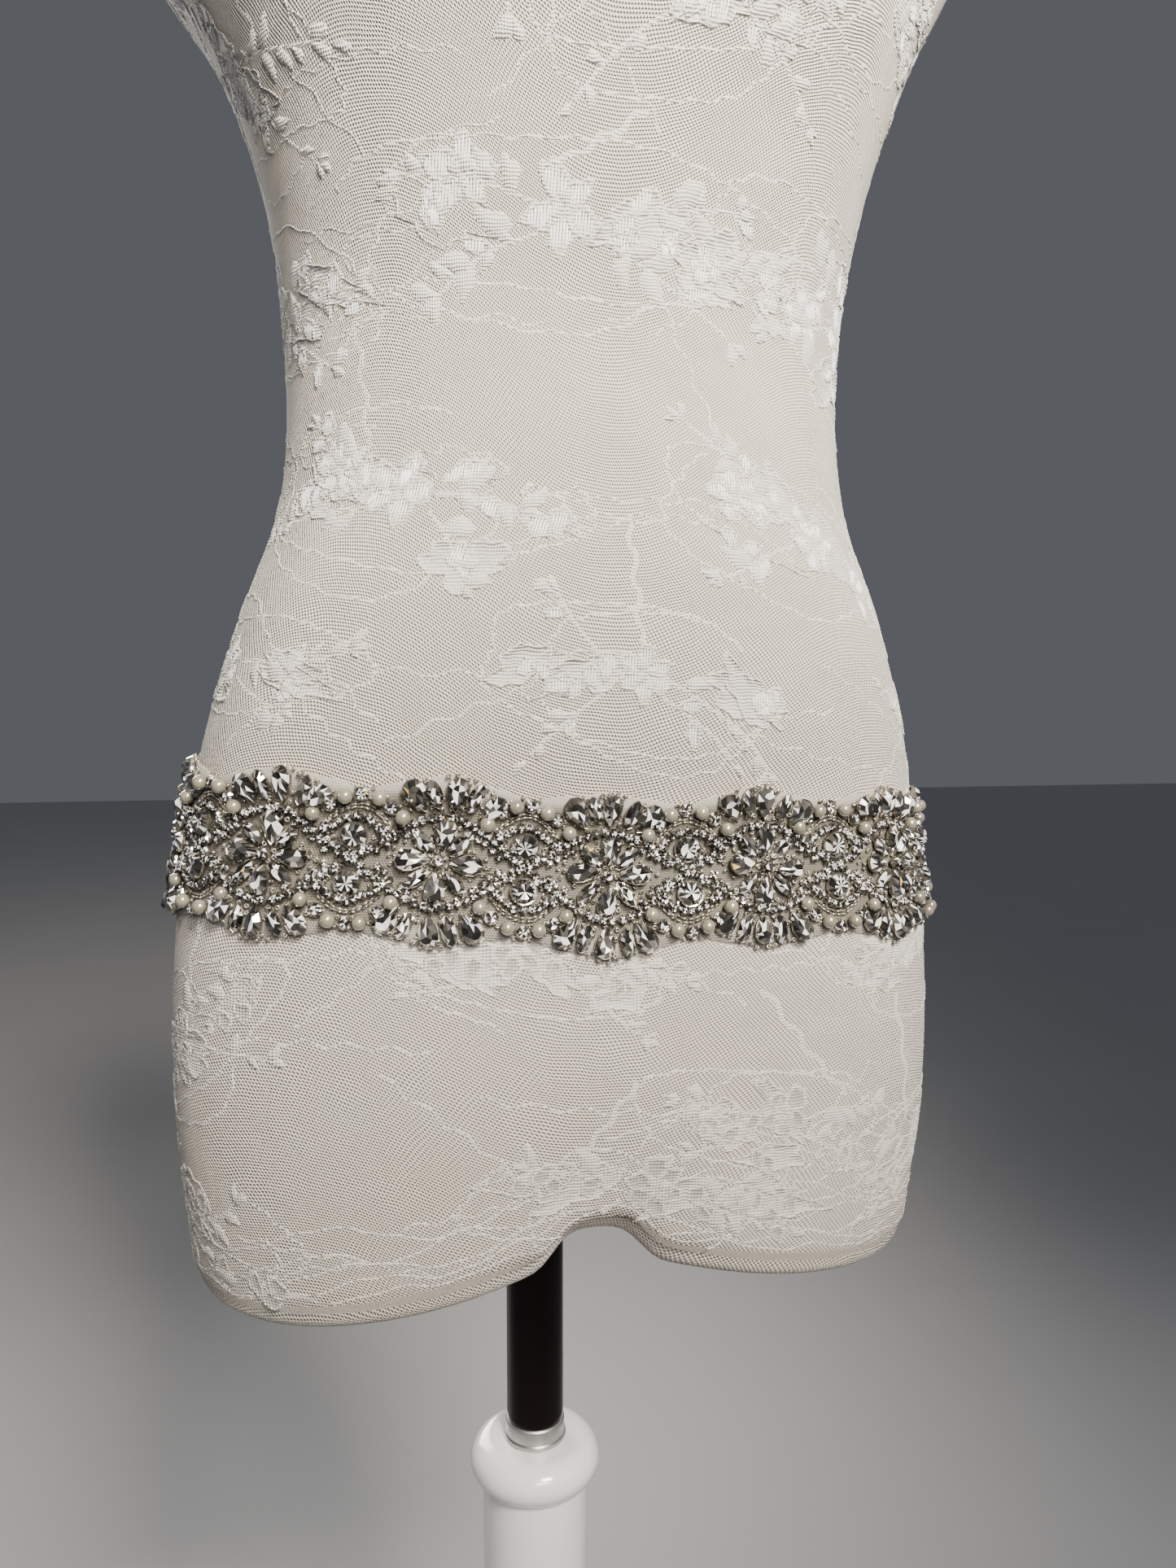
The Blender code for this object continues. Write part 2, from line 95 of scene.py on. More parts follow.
# Its middle line's steps, how much closer they come at the hips' corners, and how far out it runs.
LINE_STEPS, LINE_BUNCHING, LINE_OUT = 1440, 0.245, 2.7
HIP_CENTRE_Y = FORM_LEVELS[4, 2]
FIRST_MEDALLION, LAST_MEDALLION = -7, 8
FRONT_MEDALLION_ACROSS, DRAWN_REPEAT = 0.0, 56.8
CLOSURE_GAP, MEDALLION_HALF_WIDTH = 22.0, 17.6
CLOSURE_CLEAR = 9.5
NET_EDGE_MEAN, NET_EDGE_SCALLOP, NET_END_GAP = 27.2, 1.9, 6.0


def bell(value):
    """A bell curve, 1 at zero."""
    return np.exp(-np.square(value))


def level_sizes(height):
    """The form's sizes at each height, on smooth curves through the rows of FORM_LEVELS."""
    rows = FORM_LEVELS
    index = np.clip(np.searchsorted(rows[:, 0], height, side="right") - 1, 0, len(rows) - 2)
    low, high = rows[index], rows[index + 1]
    before, after = rows[np.maximum(index - 1, 0)], rows[np.minimum(index + 2, len(rows) - 1)]
    span = high[..., :1] - low[..., :1]
    t = np.clip((height[..., None] - low[..., :1]) / span, 0.0, 1.0)
    slope_low = (high - before) / (high[..., :1] - before[..., :1]) * span
    slope_high = (after - low) / (after[..., :1] - low[..., :1]) * span
    return (
        (2 * t**3 - 3 * t**2 + 1) * low
        + (t**3 - 2 * t**2 + t) * slope_low
        + (3 * t**2 - 2 * t**3) * high
        + (t**3 - t**2) * slope_high
    )


def form_points(angle, height):
    """Points of the form's surface. Angle 0 is the front and a quarter turn is +X."""
    angle, height = np.broadcast_arrays(np.asarray(angle, float), np.asarray(height, float))
    sizes = level_sizes(height)
    half_width, centre_y, front_depth, back_depth, squareness = (sizes[..., i] for i in range(1, 6))
    across, ahead = np.sin(angle), np.cos(angle)
    power = 2 / squareness
    x = np.sign(across) * half_width * np.abs(across) ** power
    depth = np.where(ahead > 0, front_depth, back_depth)
    y = centre_y - np.sign(ahead) * depth * np.abs(ahead) ** power
    sides = bell((x - BUST_APART / 2) / BUST_SPREAD) + bell((x + BUST_APART / 2) / BUST_SPREAD)
    y = y - np.where(ahead > 0, BUST_RISE * sides * bell((height - BUST_HEIGHT) / BUST_SPREAD) * ahead, 0.0)
    low = np.clip((FORK_TOP - height) / (FORK_TOP - BOTTOM_HEIGHT), 0.0, 1.0)
    y = y + np.sign(ahead) * FORK_DEPTH * low * low * bell(x / FORK_HALF_WIDTH) * np.abs(ahead)
    return np.stack((x, y, height), axis=-1)


def unit(vectors):
    """Vectors made one long."""
    return vectors / np.maximum(np.linalg.norm(vectors, axis=-1, keepdims=True), 1e-12)


def form_frames(angle, height):
    """Points of the form's surface with three directions at each: round it, up it and out of it."""
    points = form_points(angle, height)
    along = unit(form_points(angle + 0.012, height) - form_points(angle - 0.012, height))
    upward = form_points(angle, height + 0.002) - form_points(angle, height - 0.002)
    out = unit(np.cross(along, upward))
    return points, np.stack((along, np.cross(out, along), out), axis=-2)


def bottom_heights(x):
    """The height of the form's lower edge: it slopes, arches up in the middle, and has a narrow notch."""
    notch = CROTCH_RISE * bell((x / CROTCH_HALF_WIDTH) ** 2)
    return BOTTOM_HEIGHT - EDGE_TILT * x + ARCH_RISE * bell(x / ARCH_HALF_WIDTH) + notch


def bunched_angles():
    """Angles all the way round, closer together where the form's section turns its corners."""
    even = np.linspace(-math.pi, math.pi, LINE_STEPS + 1)
    return even - LINE_BUNCHING * np.sin(4 * even)


def middle_line():
    """The length of the sash's middle line against the angle, from the back round to the back."""
    angles = bunched_angles()
    runs = np.linalg.norm(np.diff(form_points(angles, SASH_HEIGHT), axis=0), axis=1)
    lengths = np.concatenate(([0.0], np.cumsum(runs + LINE_OUT * MM * np.diff(angles))))
    return (lengths - lengths[LINE_STEPS // 2]) / MM, angles


LENGTHS, ANGLES = middle_line()
GIRTH = LENGTHS[-1] - LENGTHS[0]
REPEATS = LAST_MEDALLION - FIRST_MEDALLION
REPEAT = (GIRTH - CLOSURE_GAP - 2 * MEDALLION_HALF_WIDTH) / REPEATS
SASH_MIDDLE = FRONT_MEDALLION_ACROSS + REPEAT * (FIRST_MEDALLION + LAST_MEDALLION) / 2
TRIM_SCALE = REPEAT / DRAWN_REPEAT


def angles_at(across):
    """The angles on the form at lengths across the sash."""
    return np.interp((np.asarray(across) - LENGTHS[0]) % GIRTH + LENGTHS[0], LENGTHS, ANGLES)


def sash_frames(across, up, out):
    """Places on the sash, in metres, with their three directions: along it, up and out."""
    across, up, out = np.broadcast_arrays(*(np.asarray(v, float) for v in (across, up, out)))
    angle = angles_at(across)
    middle = form_points(angle, SASH_HEIGHT)
    sag = SAG * bell((across - FRONT_MEDALLION_ACROSS) / SAG_HALF_LENGTH)
    tilt = TILT_ACROSS * middle[..., 0] + TILT_FORWARD * (middle[..., 1] - HIP_CENTRE_Y)
    points, ways = form_frames(angle, SASH_HEIGHT + tilt + (up - sag) * MM)
    return points + ways[..., 2, :] * out[..., None] * MM, ways


# Mesh making

def mesh_object(name, points, corners, counts, tones=None, places=None, smooth=False):
    """An object from arrays: points, the faces' corners in one row, and how many corners each face has."""
    mesh = bpy.data.meshes.new(name)
    mesh.vertices.add(len(points))
    mesh.vertices.foreach_set("co", np.asarray(points, dtype=np.float32).ravel())
    mesh.loops.add(len(corners))
    mesh.loops.foreach_set("vertex_index", np.asarray(corners, dtype=np.int32))
    mesh.polygons.add(len(counts))
    starts = np.concatenate(([0], np.cumsum(counts)[:-1]))
    mesh.polygons.foreach_set("loop_start", starts.astype(np.int32))
    mesh.update(calc_edges=True)
    if tones is not None:
        layer = mesh.color_attributes.new(name="tone", type="FLOAT_COLOR", domain="CORNER")
        values = np.ones((len(corners), 4), dtype=np.float32)
        values[:, :3] = np.repeat(tones, counts, axis=0)
        layer.data.foreach_set("color", values.ravel())
    if places is not None:
        layer = mesh.uv_layers.new(name="cloth")
        layer.data.foreach_set("uv", np.asarray(places, dtype=np.float32)[np.asarray(corners)].ravel())
    mesh.polygons.foreach_set("use_smooth", np.full(len(counts), smooth))
    made = bpy.data.objects.new(name, mesh)
    bpy.context.scene.collection.objects.link(made)
    return made


def solid(points, faces):
    """A small shape in millimetres: its points, its faces' corners in one row, and each face's count."""
    corners = np.array([i for face in faces for i in face], dtype=np.int32)
    counts = np.array([len(face) for face in faces], dtype=np.int32)
    return np.array(points, dtype=float), corners, counts


def joined_solids(*shapes):
    """Several small shapes as one."""
    points, corners, counts, start = [], [], [], 0
    for p, c, n in shapes:
        points.append(p)
        corners.append(c + start)
        counts.append(n)
        start += len(p)
    return np.concatenate(points), np.concatenate(corners), np.concatenate(counts)


class Pile:
    """Many small shapes gathered into one object."""

    def __init__(self):
        self.points, self.corners, self.counts, self.tones, self.total = [], [], [], [], 0

    def add(self, shape, origins, ways, sizes=1.0, tones=None):
        """A copy of a shape at each origin, turned to its three directions."""
        points, corners, counts = shape
        sizes = np.broadcast_to(np.asarray(sizes, float), (len(origins),))
        placed = np.einsum("vk,nkj->nvj", points * MM, ways) * sizes[:, None, None] + origins[:, None, :]
        shift = self.total + np.arange(len(origins)) * len(points)
        self.points.append(placed.reshape(-1, 3))
        self.corners.append((corners[None, :] + shift[:, None]).ravel())
        self.counts.append(np.tile(counts, len(origins)))
        if tones is not None:
            self.tones.append(np.asarray(tones).reshape(-1, 3))
        self.total += len(origins) * len(points)

    def build(self, name, smooth=False):
        tones = np.concatenate(self.tones) if self.tones else None
        return mesh_object(
            name, np.concatenate(self.points), np.concatenate(self.corners), np.concatenate(self.counts),
            tones=tones, smooth=smooth,
        )


def ring_shape(rings, close_low=None, close_high=None):
    """A shape lofted through closed rings of equal length, with a point to close each end if given."""
    size = len(rings[0])
    points = [p for ring in rings for p in ring]
    faces = []
    for level in range(len(rings) - 1):
        for i in range(size):
            j = (i + 1) % size
            a, b = level * size, (level + 1) * size
            faces.append((a + i, a + j, b + j, b + i))
    if close_high is not None:
        top = len(points)
        points.append(close_high)
        last = top - size
        faces += [(last + i, last + (i + 1) % size, top) for i in range(size)]
    if close_low is not None:
        bottom = len(points)
        points.append(close_low)
        faces += [((i + 1) % size, i, bottom) for i in range(size)]
    return solid(points, faces)


def scaled_ring(outline, share, height, centre=(0.0, 0.0)):
    """An outline drawn in to a share of itself round its centre, at a height."""
    a, b = centre
    return [(a + (x - a) * share, b + (y - b) * share, height) for x, y in outline]


def drop_outline(length, width, count):
    """A teardrop's outline with its wide end up, point at the bottom."""
    t = np.linspace(0, 2 * math.pi, count, endpoint=False)
    x = np.sin(t) * np.abs(np.sin(t / 2)) ** 0.8
    return list(zip(x / np.abs(x).max() * width / 2, -np.cos(t) * length / 2))


def lens_outline(length, width, count):
    """A marquise's outline, pointed at both ends."""
    t = np.linspace(0, 2 * math.pi, count, endpoint=False)
    return list(zip(np.sin(t) * np.abs(np.sin(t)) ** 0.3 * width / 2, -np.cos(t) * length / 2))


def round_outline(radius, count):
    t = np.linspace(0, 2 * math.pi, count, endpoint=False)
    return list(zip(np.sin(t) * radius, -np.cos(t) * radius))


# A stone's narrow back: its share of the outline, and its height over the cloth.
BACK_SHARE, BACK_LIFT = 0.62, 0.15


def cut_stone(outline, girdle, rise, centre=(0.0, 0.0), table=0.62, dent=0.2, step=1):
    """A cut stone: a narrow back, a girdle, three-cornered crown facets, and a table of wedges.

    table is the table's share of the outline, dent how deep its middle lies, and step the corners to a wedge.
    """
    size = len(outline)
    rings = [scaled_ring(outline, BACK_SHARE, BACK_LIFT, centre), scaled_ring(outline, 1.0, girdle, centre)]
    points, corners, counts = ring_shape(rings, close_low=(*centre, 0.0))
    top = len(points)
    crown = scaled_ring(outline, table, girdle + rise, centre)
    points = np.concatenate((points, crown, [(*centre, girdle + rise - dent)]))
    faces = []
    for i in range(size):
        j = (i + 1) % size
        faces += [(size + i, size + j, top + j), (size + i, top + j, top + i)]
    for i in range(0, size, step):
        faces.append([top + (i + k) % size for k in range(step + 1)] + [top + size])
    more = solid([(0, 0, 0)], faces)
    return points, np.concatenate((corners, more[1])), np.concatenate((counts, more[2]))


def claw_cup(outline, girdle, claws, centre=(0.0, 0.0), claw_width=0.95, reach=1.0, over=0.65, wall=0.05):
    """A silver setting: a wall round the stone's girdle, and claws bent over its edge.

    claws are shares of the way round the outline.
    """
    rings = [
        scaled_ring(outline, 0.92, 0.0, centre),
        scaled_ring(outline, 1.0 + wall, girdle * 0.45, centre),
        scaled_ring(outline, 1.0 + wall, girdle + 0.12, centre),
        scaled_ring(outline, 1.0, girdle - 0.05, centre),
    ]
    shapes = [ring_shape(rings)]
    for share in claws:
        index = share * len(outline)
        i = int(index) % len(outline)
        part = index - int(index)
        a, b = np.array(outline[i]), np.array(outline[(i + 1) % len(outline)])
        spot = a + (b - a) * part
        way = spot - np.array(centre)
        way = way / np.linalg.norm(way)
        side = np.array((-way[1], way[0])) * claw_width / 2
        points = []
        for radius, height, wide in (
            (0.34, girdle - 0.3, 1.0),
            (0.30, girdle + over * 0.8, 0.95),
            (-reach, girdle + over, 0.45),
            (-reach, girdle + over - 0.3, 0.4),
        ):
            for s in (1, -1):
                points.append((*(spot + way * radius + side * s * wide), height))
        faces = [(0, 1, 3, 2), (2, 3, 5, 4), (4, 5, 7, 6), (0, 2, 4, 6), (1, 7, 5, 3)]
        shapes.append(solid(points, faces))
    return joined_solids(*shapes)


def ball(radius, across=12, high=8, squash=1.0):
    """A ball about the origin, a little flattened if squash is under 1."""
    rings = []
    for level in range(1, high):
        t = math.pi * level / high
        line = round_outline(math.sin(t) * radius, across)
        rings.append([(x, y, -math.cos(t) * radius * squash) for x, y in line])
    return ring_shape(rings, close_low=(0, 0, -radius * squash), close_high=(0, 0, radius * squash))


def seed_ring(radius, tube, across=10, around=6):
    """A small bead with a hole, lying flat."""
    points, faces = [], []
    for i in range(across):
        a = 2 * math.pi * i / across
        for k in range(around):
            b = 2 * math.pi * k / around
            r = radius + tube * math.cos(b)
            points.append((r * math.sin(a), -r * math.cos(a), tube * (1 + math.sin(b))))
    for i in range(across):
        for k in range(around):
            n, m = (i + 1) % across, (k + 1) % around
            faces.append((i * around + k, n * around + k, n * around + m, i * around + m))
    return solid(points, faces)


def rod(length, radius, sides=6):
    """A short glass tube lying along the first direction."""
    rings = []
    line = round_outline(radius, sides)
    for x, share in ((-0.5, 0.55), (-0.46, 1.0), (0.46, 1.0), (0.5, 0.55)):
        rings.append([(x * length, y * share, z * share + radius) for y, z in line])
    return ring_shape(rings, close_low=(-length / 2, 0, radius), close_high=(length / 2, 0, radius))


# Where everything on the sash sits

def medallion_middles():
    return FRONT_MEDALLION_ACROSS + np.arange(FIRST_MEDALLION, LAST_MEDALLION + 1) * REPEAT


def link_middles():
    return medallion_middles()[:-1] + REPEAT / 2


def along_curve(curve, start, stop, spacing):
    """Points a spacing apart on a curve of across to up, with their leans in degrees."""
    t = np.linspace(start, stop, 600)
    v = curve(t)
    lengths = np.concatenate(([0], np.cumsum(np.hypot(np.diff(t), np.diff(v)))))
    count = max(int(round(lengths[-1] / spacing)), 1)
    at = (np.arange(count) + 0.5) * lengths[-1] / count
    x, y = np.interp(at, lengths, t), np.interp(at, lengths, v)
    slope = np.interp(at, lengths, np.gradient(v, t))
    return [(a, b, math.degrees(math.atan(s))) for a, b, s in zip(x, y, slope)]


def spread(middles, spots, rng, slip=0.22, turn=4.0, tilt=5.0, lean_each=None):
    """Places for a list of (across, up, lean in degrees) round each middle, each a little out of line.

    slip is in millimetres, turn and tilt in degrees. lean_each leans each middle's whole group.
    """
    across, up, lean = [], [], []
    for n, middle in enumerate(middles):
        whole = 0.0 if lean_each is None else lean_each[n]
        c, s = math.cos(math.radians(whole)), math.sin(math.radians(whole))
        for x, y, angle in spots:
            across.append(middle + (x * c + y * s) * TRIM_SCALE)
            up.append((y * c - x * s) * TRIM_SCALE)
            lean.append(angle + whole)
    count = len(across)
    across = np.array(across) + rng.normal(0, slip, count)
    up = np.array(up) + rng.normal(0, slip, count)
    lean = np.radians(np.array(lean) + rng.normal(0, turn, count))
    rocks = np.radians(rng.normal(0, tilt, (count, 2)))
    clear = np.abs((across - SASH_MIDDLE) % GIRTH - GIRTH / 2) > CLOSURE_CLEAR
    return across[clear], up[clear], lean[clear], rocks[clear]


def placed(spots, out):
    """Origins and directions for places from spread, with out in millimetres over the form."""
    across, up, lean, rocks = spots
    origins, ways = sash_frames(across, up, out)
    c, s = np.cos(lean)[:, None], np.sin(lean)[:, None]
    first = ways[:, 0] * c - ways[:, 1] * s
    second = ways[:, 0] * s + ways[:, 1] * c
    third = unit(ways[:, 2] + first * rocks[:, :1] + second * rocks[:, 1:])
    first = unit(first - third * (first * third).sum(axis=1, keepdims=True))
    return origins, np.stack((first, np.cross(third, first), third), axis=1)


def round_places(reach, angles):
    """Places on a circle, as (across, up), at angles in degrees from straight up."""
    return [(reach * math.sin(math.radians(a)), reach * math.cos(math.radians(a))) for a in angles]


# Each repeat's drawing, in millimetres before TRIM_SCALE, as across and up from the middle of its repeat.
# Petals and fan stones also have their lean in degrees and their kind of stone.
PETAL_ANGLES = range(0, 360, 45)
PETALS = [
    (*place, a, "drop" if a % 90 == 0 else "lens")
    for place, a in zip(round_places(8.8, PETAL_ANGLES), PETAL_ANGLES)
]
FAN = (
    (-13.2, 20.2, -36, "drop"),
    (-6.9, 22.0, -17, "lens"),
    (0.0, 22.6, 0, "drop"),
    (6.9, 22.0, 17, "lens"),
    (13.2, 20.2, 36, "drop"),
)
BORDER_PEARLS = ((5.4, 20.2), (14.3, 14.1))
BORDER_ROUNDS = ((0.0, 21.3), (10.0, 17.5))
LARGE_ROUND_UP = 7.8


def up_and_down(spots):
    """Spots of (across, up, lean), and the same below the middle line."""
    return spots + [(x, -y, -a) for x, y, a in spots]


def four_ways(spots):
    """Spots mirrored left to right and top to bottom, each once."""
    found = []
    for x, y in spots:
        for a in ((1, -1) if x else (1,)):
            for b in ((1, -1) if y else (1,)):
                found.append((a * x, b * y, 0.0))
    return found


def wave(t):
    """The chain of small stones that swings between the medallions."""
    return 15.2 * np.cos(np.clip(np.abs(t) / 28.8, 0, 1) * math.pi / 2) ** 1.3


def eye(t):
    """The chain that arches over each large round stone."""
    return 13.9 - 6.8 * (t / 11) ** 2


def cord_arc(t):
    """The double bugle cord over each eye."""
    return 17.3 - 7.0 * (t / 11.2) ** 2


def medallion_spots(kind):
    """A medallion's stones of one kind, as (across, up, lean)."""
    spots = [(x, y, a) for x, y, a, k in PETALS if k == kind]
    for x, y, a, k in FAN:
        if k == kind:
            spots += [(x, y, a), (x, -y, 180 - a)]
    return spots


def medallion_leans():
    """How far each whole medallion leans, in degrees."""
    return np.random.default_rng(31).normal(3.0, 2.5, len(medallion_middles()))


def painted_facet_levels(rng, pick, dark, bright, darks, greys, brights):
    """A painted reflection level for each facet: of darks if its pick is under dark, of brights if over
    bright, or of greys.
    """
    level = np.where(pick < dark, rng.uniform(*darks, pick.shape), rng.uniform(*greys, pick.shape))
    return np.where(pick > bright, rng.uniform(*brights, pick.shape), level)


# Colours of the painted flashes of fire on a few facets; the dark and middling facets get a warm tint.
PAINTED_FIRE_HUES = np.array(((1.0, 0.66, 0.10), (1.0, 0.72, 0.22), (0.40, 0.68, 1.0), (0.62, 0.52, 0.92)))
WARM_SHIFT = np.array((0.03, -0.05, -0.20))


def painted_facet_reflections(rng, stones, size, step, dark, fire, star=0.0):
    """A tone for each facet of each stone: a grey back, and a crown and table with painted reflections, white
    where they would throw light back and dark where they wouldn't.

    size and step are the stone's corners and the corners to a table wedge.
    star is how strictly light and dark wedges alternate.
    """
    back = rng.uniform(0.12, 0.3, (stones, 2 * size))
    pick = rng.random((stones, 2 * size))
    crown = painted_facet_levels(rng, pick, dark, 0.80, (0.010, 0.05), (0.06, 0.28), (0.85, 1.0))
    wedges = len(range(0, size, step))
    pick = rng.random((stones, wedges))
    every_other = (np.arange(wedges) + rng.integers(0, 2, (stones, 1))) % 2
    pick = np.where(rng.random(pick.shape) < star, every_other * 0.85, pick)
    table = painted_facet_levels(rng, pick, dark * 0.9, 0.66, (0.010, 0.07), (0.07, 0.31), (0.94, 1.0))
    level = np.concatenate((back, crown, table), axis=1)
    warm = np.clip(rng.normal(0.5, 0.5, level.shape), 0, 1.4) * (level < 0.7)
    tones = level[..., None] * (1 + warm[..., None] * WARM_SHIFT)
    flash = rng.random(level.shape) < fire
    tones[flash] = PAINTED_FIRE_HUES[rng.integers(0, len(PAINTED_FIRE_HUES), flash.sum())]
    return np.clip(tones, 0, 1).reshape(-1, 3)


# Materials

def plain_material(name):
    """A material with its node tree and its shader."""
    made = bpy.data.materials.new(name)
    made.use_nodes = True
    tree = made.node_tree
    return made, tree, tree.nodes["Principled BSDF"]


def node(tree, kind, inputs=None, **settings):
    """A node with its settings, and inputs by name or number from values or from other nodes' outputs."""
    made = tree.nodes.new(kind)
    for key, value in settings.items():
        setattr(made, key, value)
    for key, value in (inputs or {}).items():
        if isinstance(value, bpy.types.NodeSocket):
            tree.links.new(value, made.inputs[key])
        else:
            made.inputs[key].default_value = value
    return made


def maths(tree, operation, *values):
    """A sum, product or the like of values and other nodes' outputs."""
    return node(tree, "ShaderNodeMath", dict(enumerate(values)), operation=operation).outputs[0]


def mixed(tree, share, low, high):
    """Between two colours by a share."""
    made = node(tree, "ShaderNodeMix", data_type="RGBA")
    for socket, value in zip((made.inputs[0], made.inputs[6], made.inputs[7]), (share, low, high)):
        if isinstance(value, bpy.types.NodeSocket):
            tree.links.new(value, socket)
        else:
            socket.default_value = value if socket == made.inputs[0] else (*value, 1.0)
    return made.outputs[2]


def bump(tree, shader, height, strength, distance):
    """Raise the surface by a height that varies, as the light sees it."""
    made = node(tree, "ShaderNodeBump", {"Strength": strength, "Distance": distance, "Height": height})
    tree.links.new(made.outputs["Normal"], shader.inputs["Normal"])


def noise(tree, scale, detail=2.0, where=None):
    """Clouds of this scale, over the object's own places or others."""
    where = where or object_places(tree)
    return node(tree, "ShaderNodeTexNoise", {"Vector": where, "Scale": scale, "Detail": detail}).outputs[0]


def cloth_grid(tree):
    """The cloth's own places in millimetres: round the form, and up it."""
    where = node(tree, "ShaderNodeUVMap", uv_map="cloth").outputs[0]
    parts = node(tree, "ShaderNodeSeparateXYZ", {0: where}).outputs
    return maths(tree, "MULTIPLY", parts[0], 1000.0), maths(tree, "MULTIPLY", parts[1], 1000.0)


def net_holes(tree, across, up, pitch, drawn=1.0):
    """High in the holes of a six-sided net of this pitch, low on its threads.

    Where drawn is low, the net shows as slanting rows.
    """
    turn = 2 * math.pi / pitch
    x = maths(tree, "MULTIPLY", across, turn)
    y = maths(tree, "MULTIPLY", up, turn * 0.5774)
    first = maths(tree, "COSINE", maths(tree, "ADD", x, y))
    second = maths(tree, "COSINE", maths(tree, "SUBTRACT", x, y))
    third = maths(tree, "COSINE", maths(tree, "MULTIPLY", y, 2.0))
    return maths(tree, "ADD", maths(tree, "ADD", first, maths(tree, "MULTIPLY", second, drawn)), third)


def ramp(tree, value, low, high, to_low=0.0, to_high=1.0):
    """A smooth step from to_low to to_high as a value goes from low to high."""
    made = node(tree, "ShaderNodeMapRange", {0: value, 1: low, 2: high, 3: to_low, 4: to_high})
    made.interpolation_type = "SMOOTHSTEP"
    return made.outputs[0]


SHADER_INPUTS = {
    "colour": "Base Color", "roughness": "Roughness", "metallic": "Metallic", "coat": "Coat Weight",
    "coat_roughness": "Coat Roughness", "coat_ior": "Coat IOR", "ior": "IOR", "sheen": "Sheen Weight",
    "sheen_roughness": "Sheen Roughness", "alpha": "Alpha", "specular": "Specular IOR Level",
}


def set_inputs(shader, **values):
    """Set the shader's inputs by their short names, each from a value or from another node's output."""
    for key, value in values.items():
        socket = shader.inputs[SHADER_INPUTS[key]]
        if isinstance(value, bpy.types.NodeSocket):
            shader.id_data.links.new(value, socket)
        else:
            socket.default_value = value


def face_tones(tree):
    """Each face's own tone, from the mesh."""
    return node(tree, "ShaderNodeVertexColor", layer_name="tone").outputs[0]


def object_places(tree):
    return node(tree, "ShaderNodeTexCoord").outputs["Object"]


def dimmed(colour, share):
    """A colour at a share of its brightness."""
    return tuple(part * share for part in colour)


def crystal_material():
    """Foiled glass with painted reflections in its facets' tones: bright facets stay white, and the others
    mirror what is round them.
    """
    made, tree, shader = plain_material("foiled_crystal")
    tone = face_tones(tree)
    smoky = ramp(tree, noise(tree, 900.0, 3.0), 0.35, 0.7, 0.0, 0.12)
    set_inputs(
        shader, colour=mixed(tree, smoky, tone, (0.16, 0.13, 0.10)),
        metallic=ramp(tree, tone, 0.1, 0.8, 0.75, 0.05),
        roughness=0.06, coat=1.0, coat_roughness=0.02, coat_ior=1.9, ior=1.5,
    )
    return made


def silver_material():
    """Plated settings, tarnished in patches."""
    made, tree, shader = plain_material("silver_setting")
    wear = noise(tree, 700.0, 4.0)
    set_inputs(
        shader, colour=mixed(tree, wear, (0.26, 0.23, 0.175), (0.62, 0.58, 0.50)),
        roughness=ramp(tree, wear, 0.2, 0.8, 0.14, 0.32), metallic=0.9,
    )
    return made


def pearl_material():
    """Pearl coating: each face has its own tone, with painted shade darker low down, under a clear glossy
    coat.
    """
    made, tree, shader = plain_material("ivory_pearl")
    clouds = ramp(tree, noise(tree, 260.0, 3.0), 0.3, 0.8, 0.0, 0.10)
    bump(tree, shader, noise(tree, 2500.0), 0.03, 0.00005)
    set_inputs(
        shader, colour=mixed(tree, clouds, face_tones(tree), (0.30, 0.25, 0.17)),
        roughness=0.30, coat=1.0, coat_roughness=0.13, coat_ior=2.2, specular=0.7,
    )
    return made


def glass_bead_material():
    """Silver-lined glass, from smoky to bright from bead to bead."""
    made, tree, shader = plain_material("silver_lined_beads")
    clouds = ramp(tree, noise(tree, 1100.0, 3.0), 0.35, 0.65)
    set_inputs(
        shader, colour=mixed(tree, clouds, (0.13, 0.115, 0.08), (0.64, 0.595, 0.50)),
        metallic=0.6, roughness=0.13, coat=1.0, coat_roughness=0.03,
    )
    return made


def net_material(colour):
    """Sheer net: pale at its free edges, with painted shade deeper towards the middle where stones stand
    close over it.
    """
    made, tree, shader = plain_material("sheer_net")
    across, up = cloth_grid(tree)
    holes = net_holes(tree, across, up, 1.0)
    from_middle = maths(tree, "ABSOLUTE", up)
    # Painted shade: from its pale free edges the net darkens to its given colour in the middle, where the
    # stones stand over it.
    net_with_painted_shade = mixed(tree, ramp(tree, from_middle, 20.0, 26.0), colour, (0.57, 0.54, 0.485))
    # The net, with its painted shade, made darker in its holes.
    shaded_net_darker_in_holes = mixed(tree, ramp(tree, holes, -0.4, 1.2, 0.0, 0.22), net_with_painted_shade, dimmed(colour, 0.5))
    thin = ramp(tree, from_middle, 21.0, 26.0, 1.0, 0.6)
    sheer = maths(tree, "MULTIPLY", ramp(tree, holes, -0.2, 1.6, 0.95, 0.74), thin)
    bump(tree, shader, maths(tree, "MULTIPLY", holes, -1.0), 0.5, 0.0001)
    set_inputs(shader, colour=shaded_net_darker_in_holes, alpha=sheer, roughness=0.55, sheen=0.2, sheen_roughness=0.4)
    return made


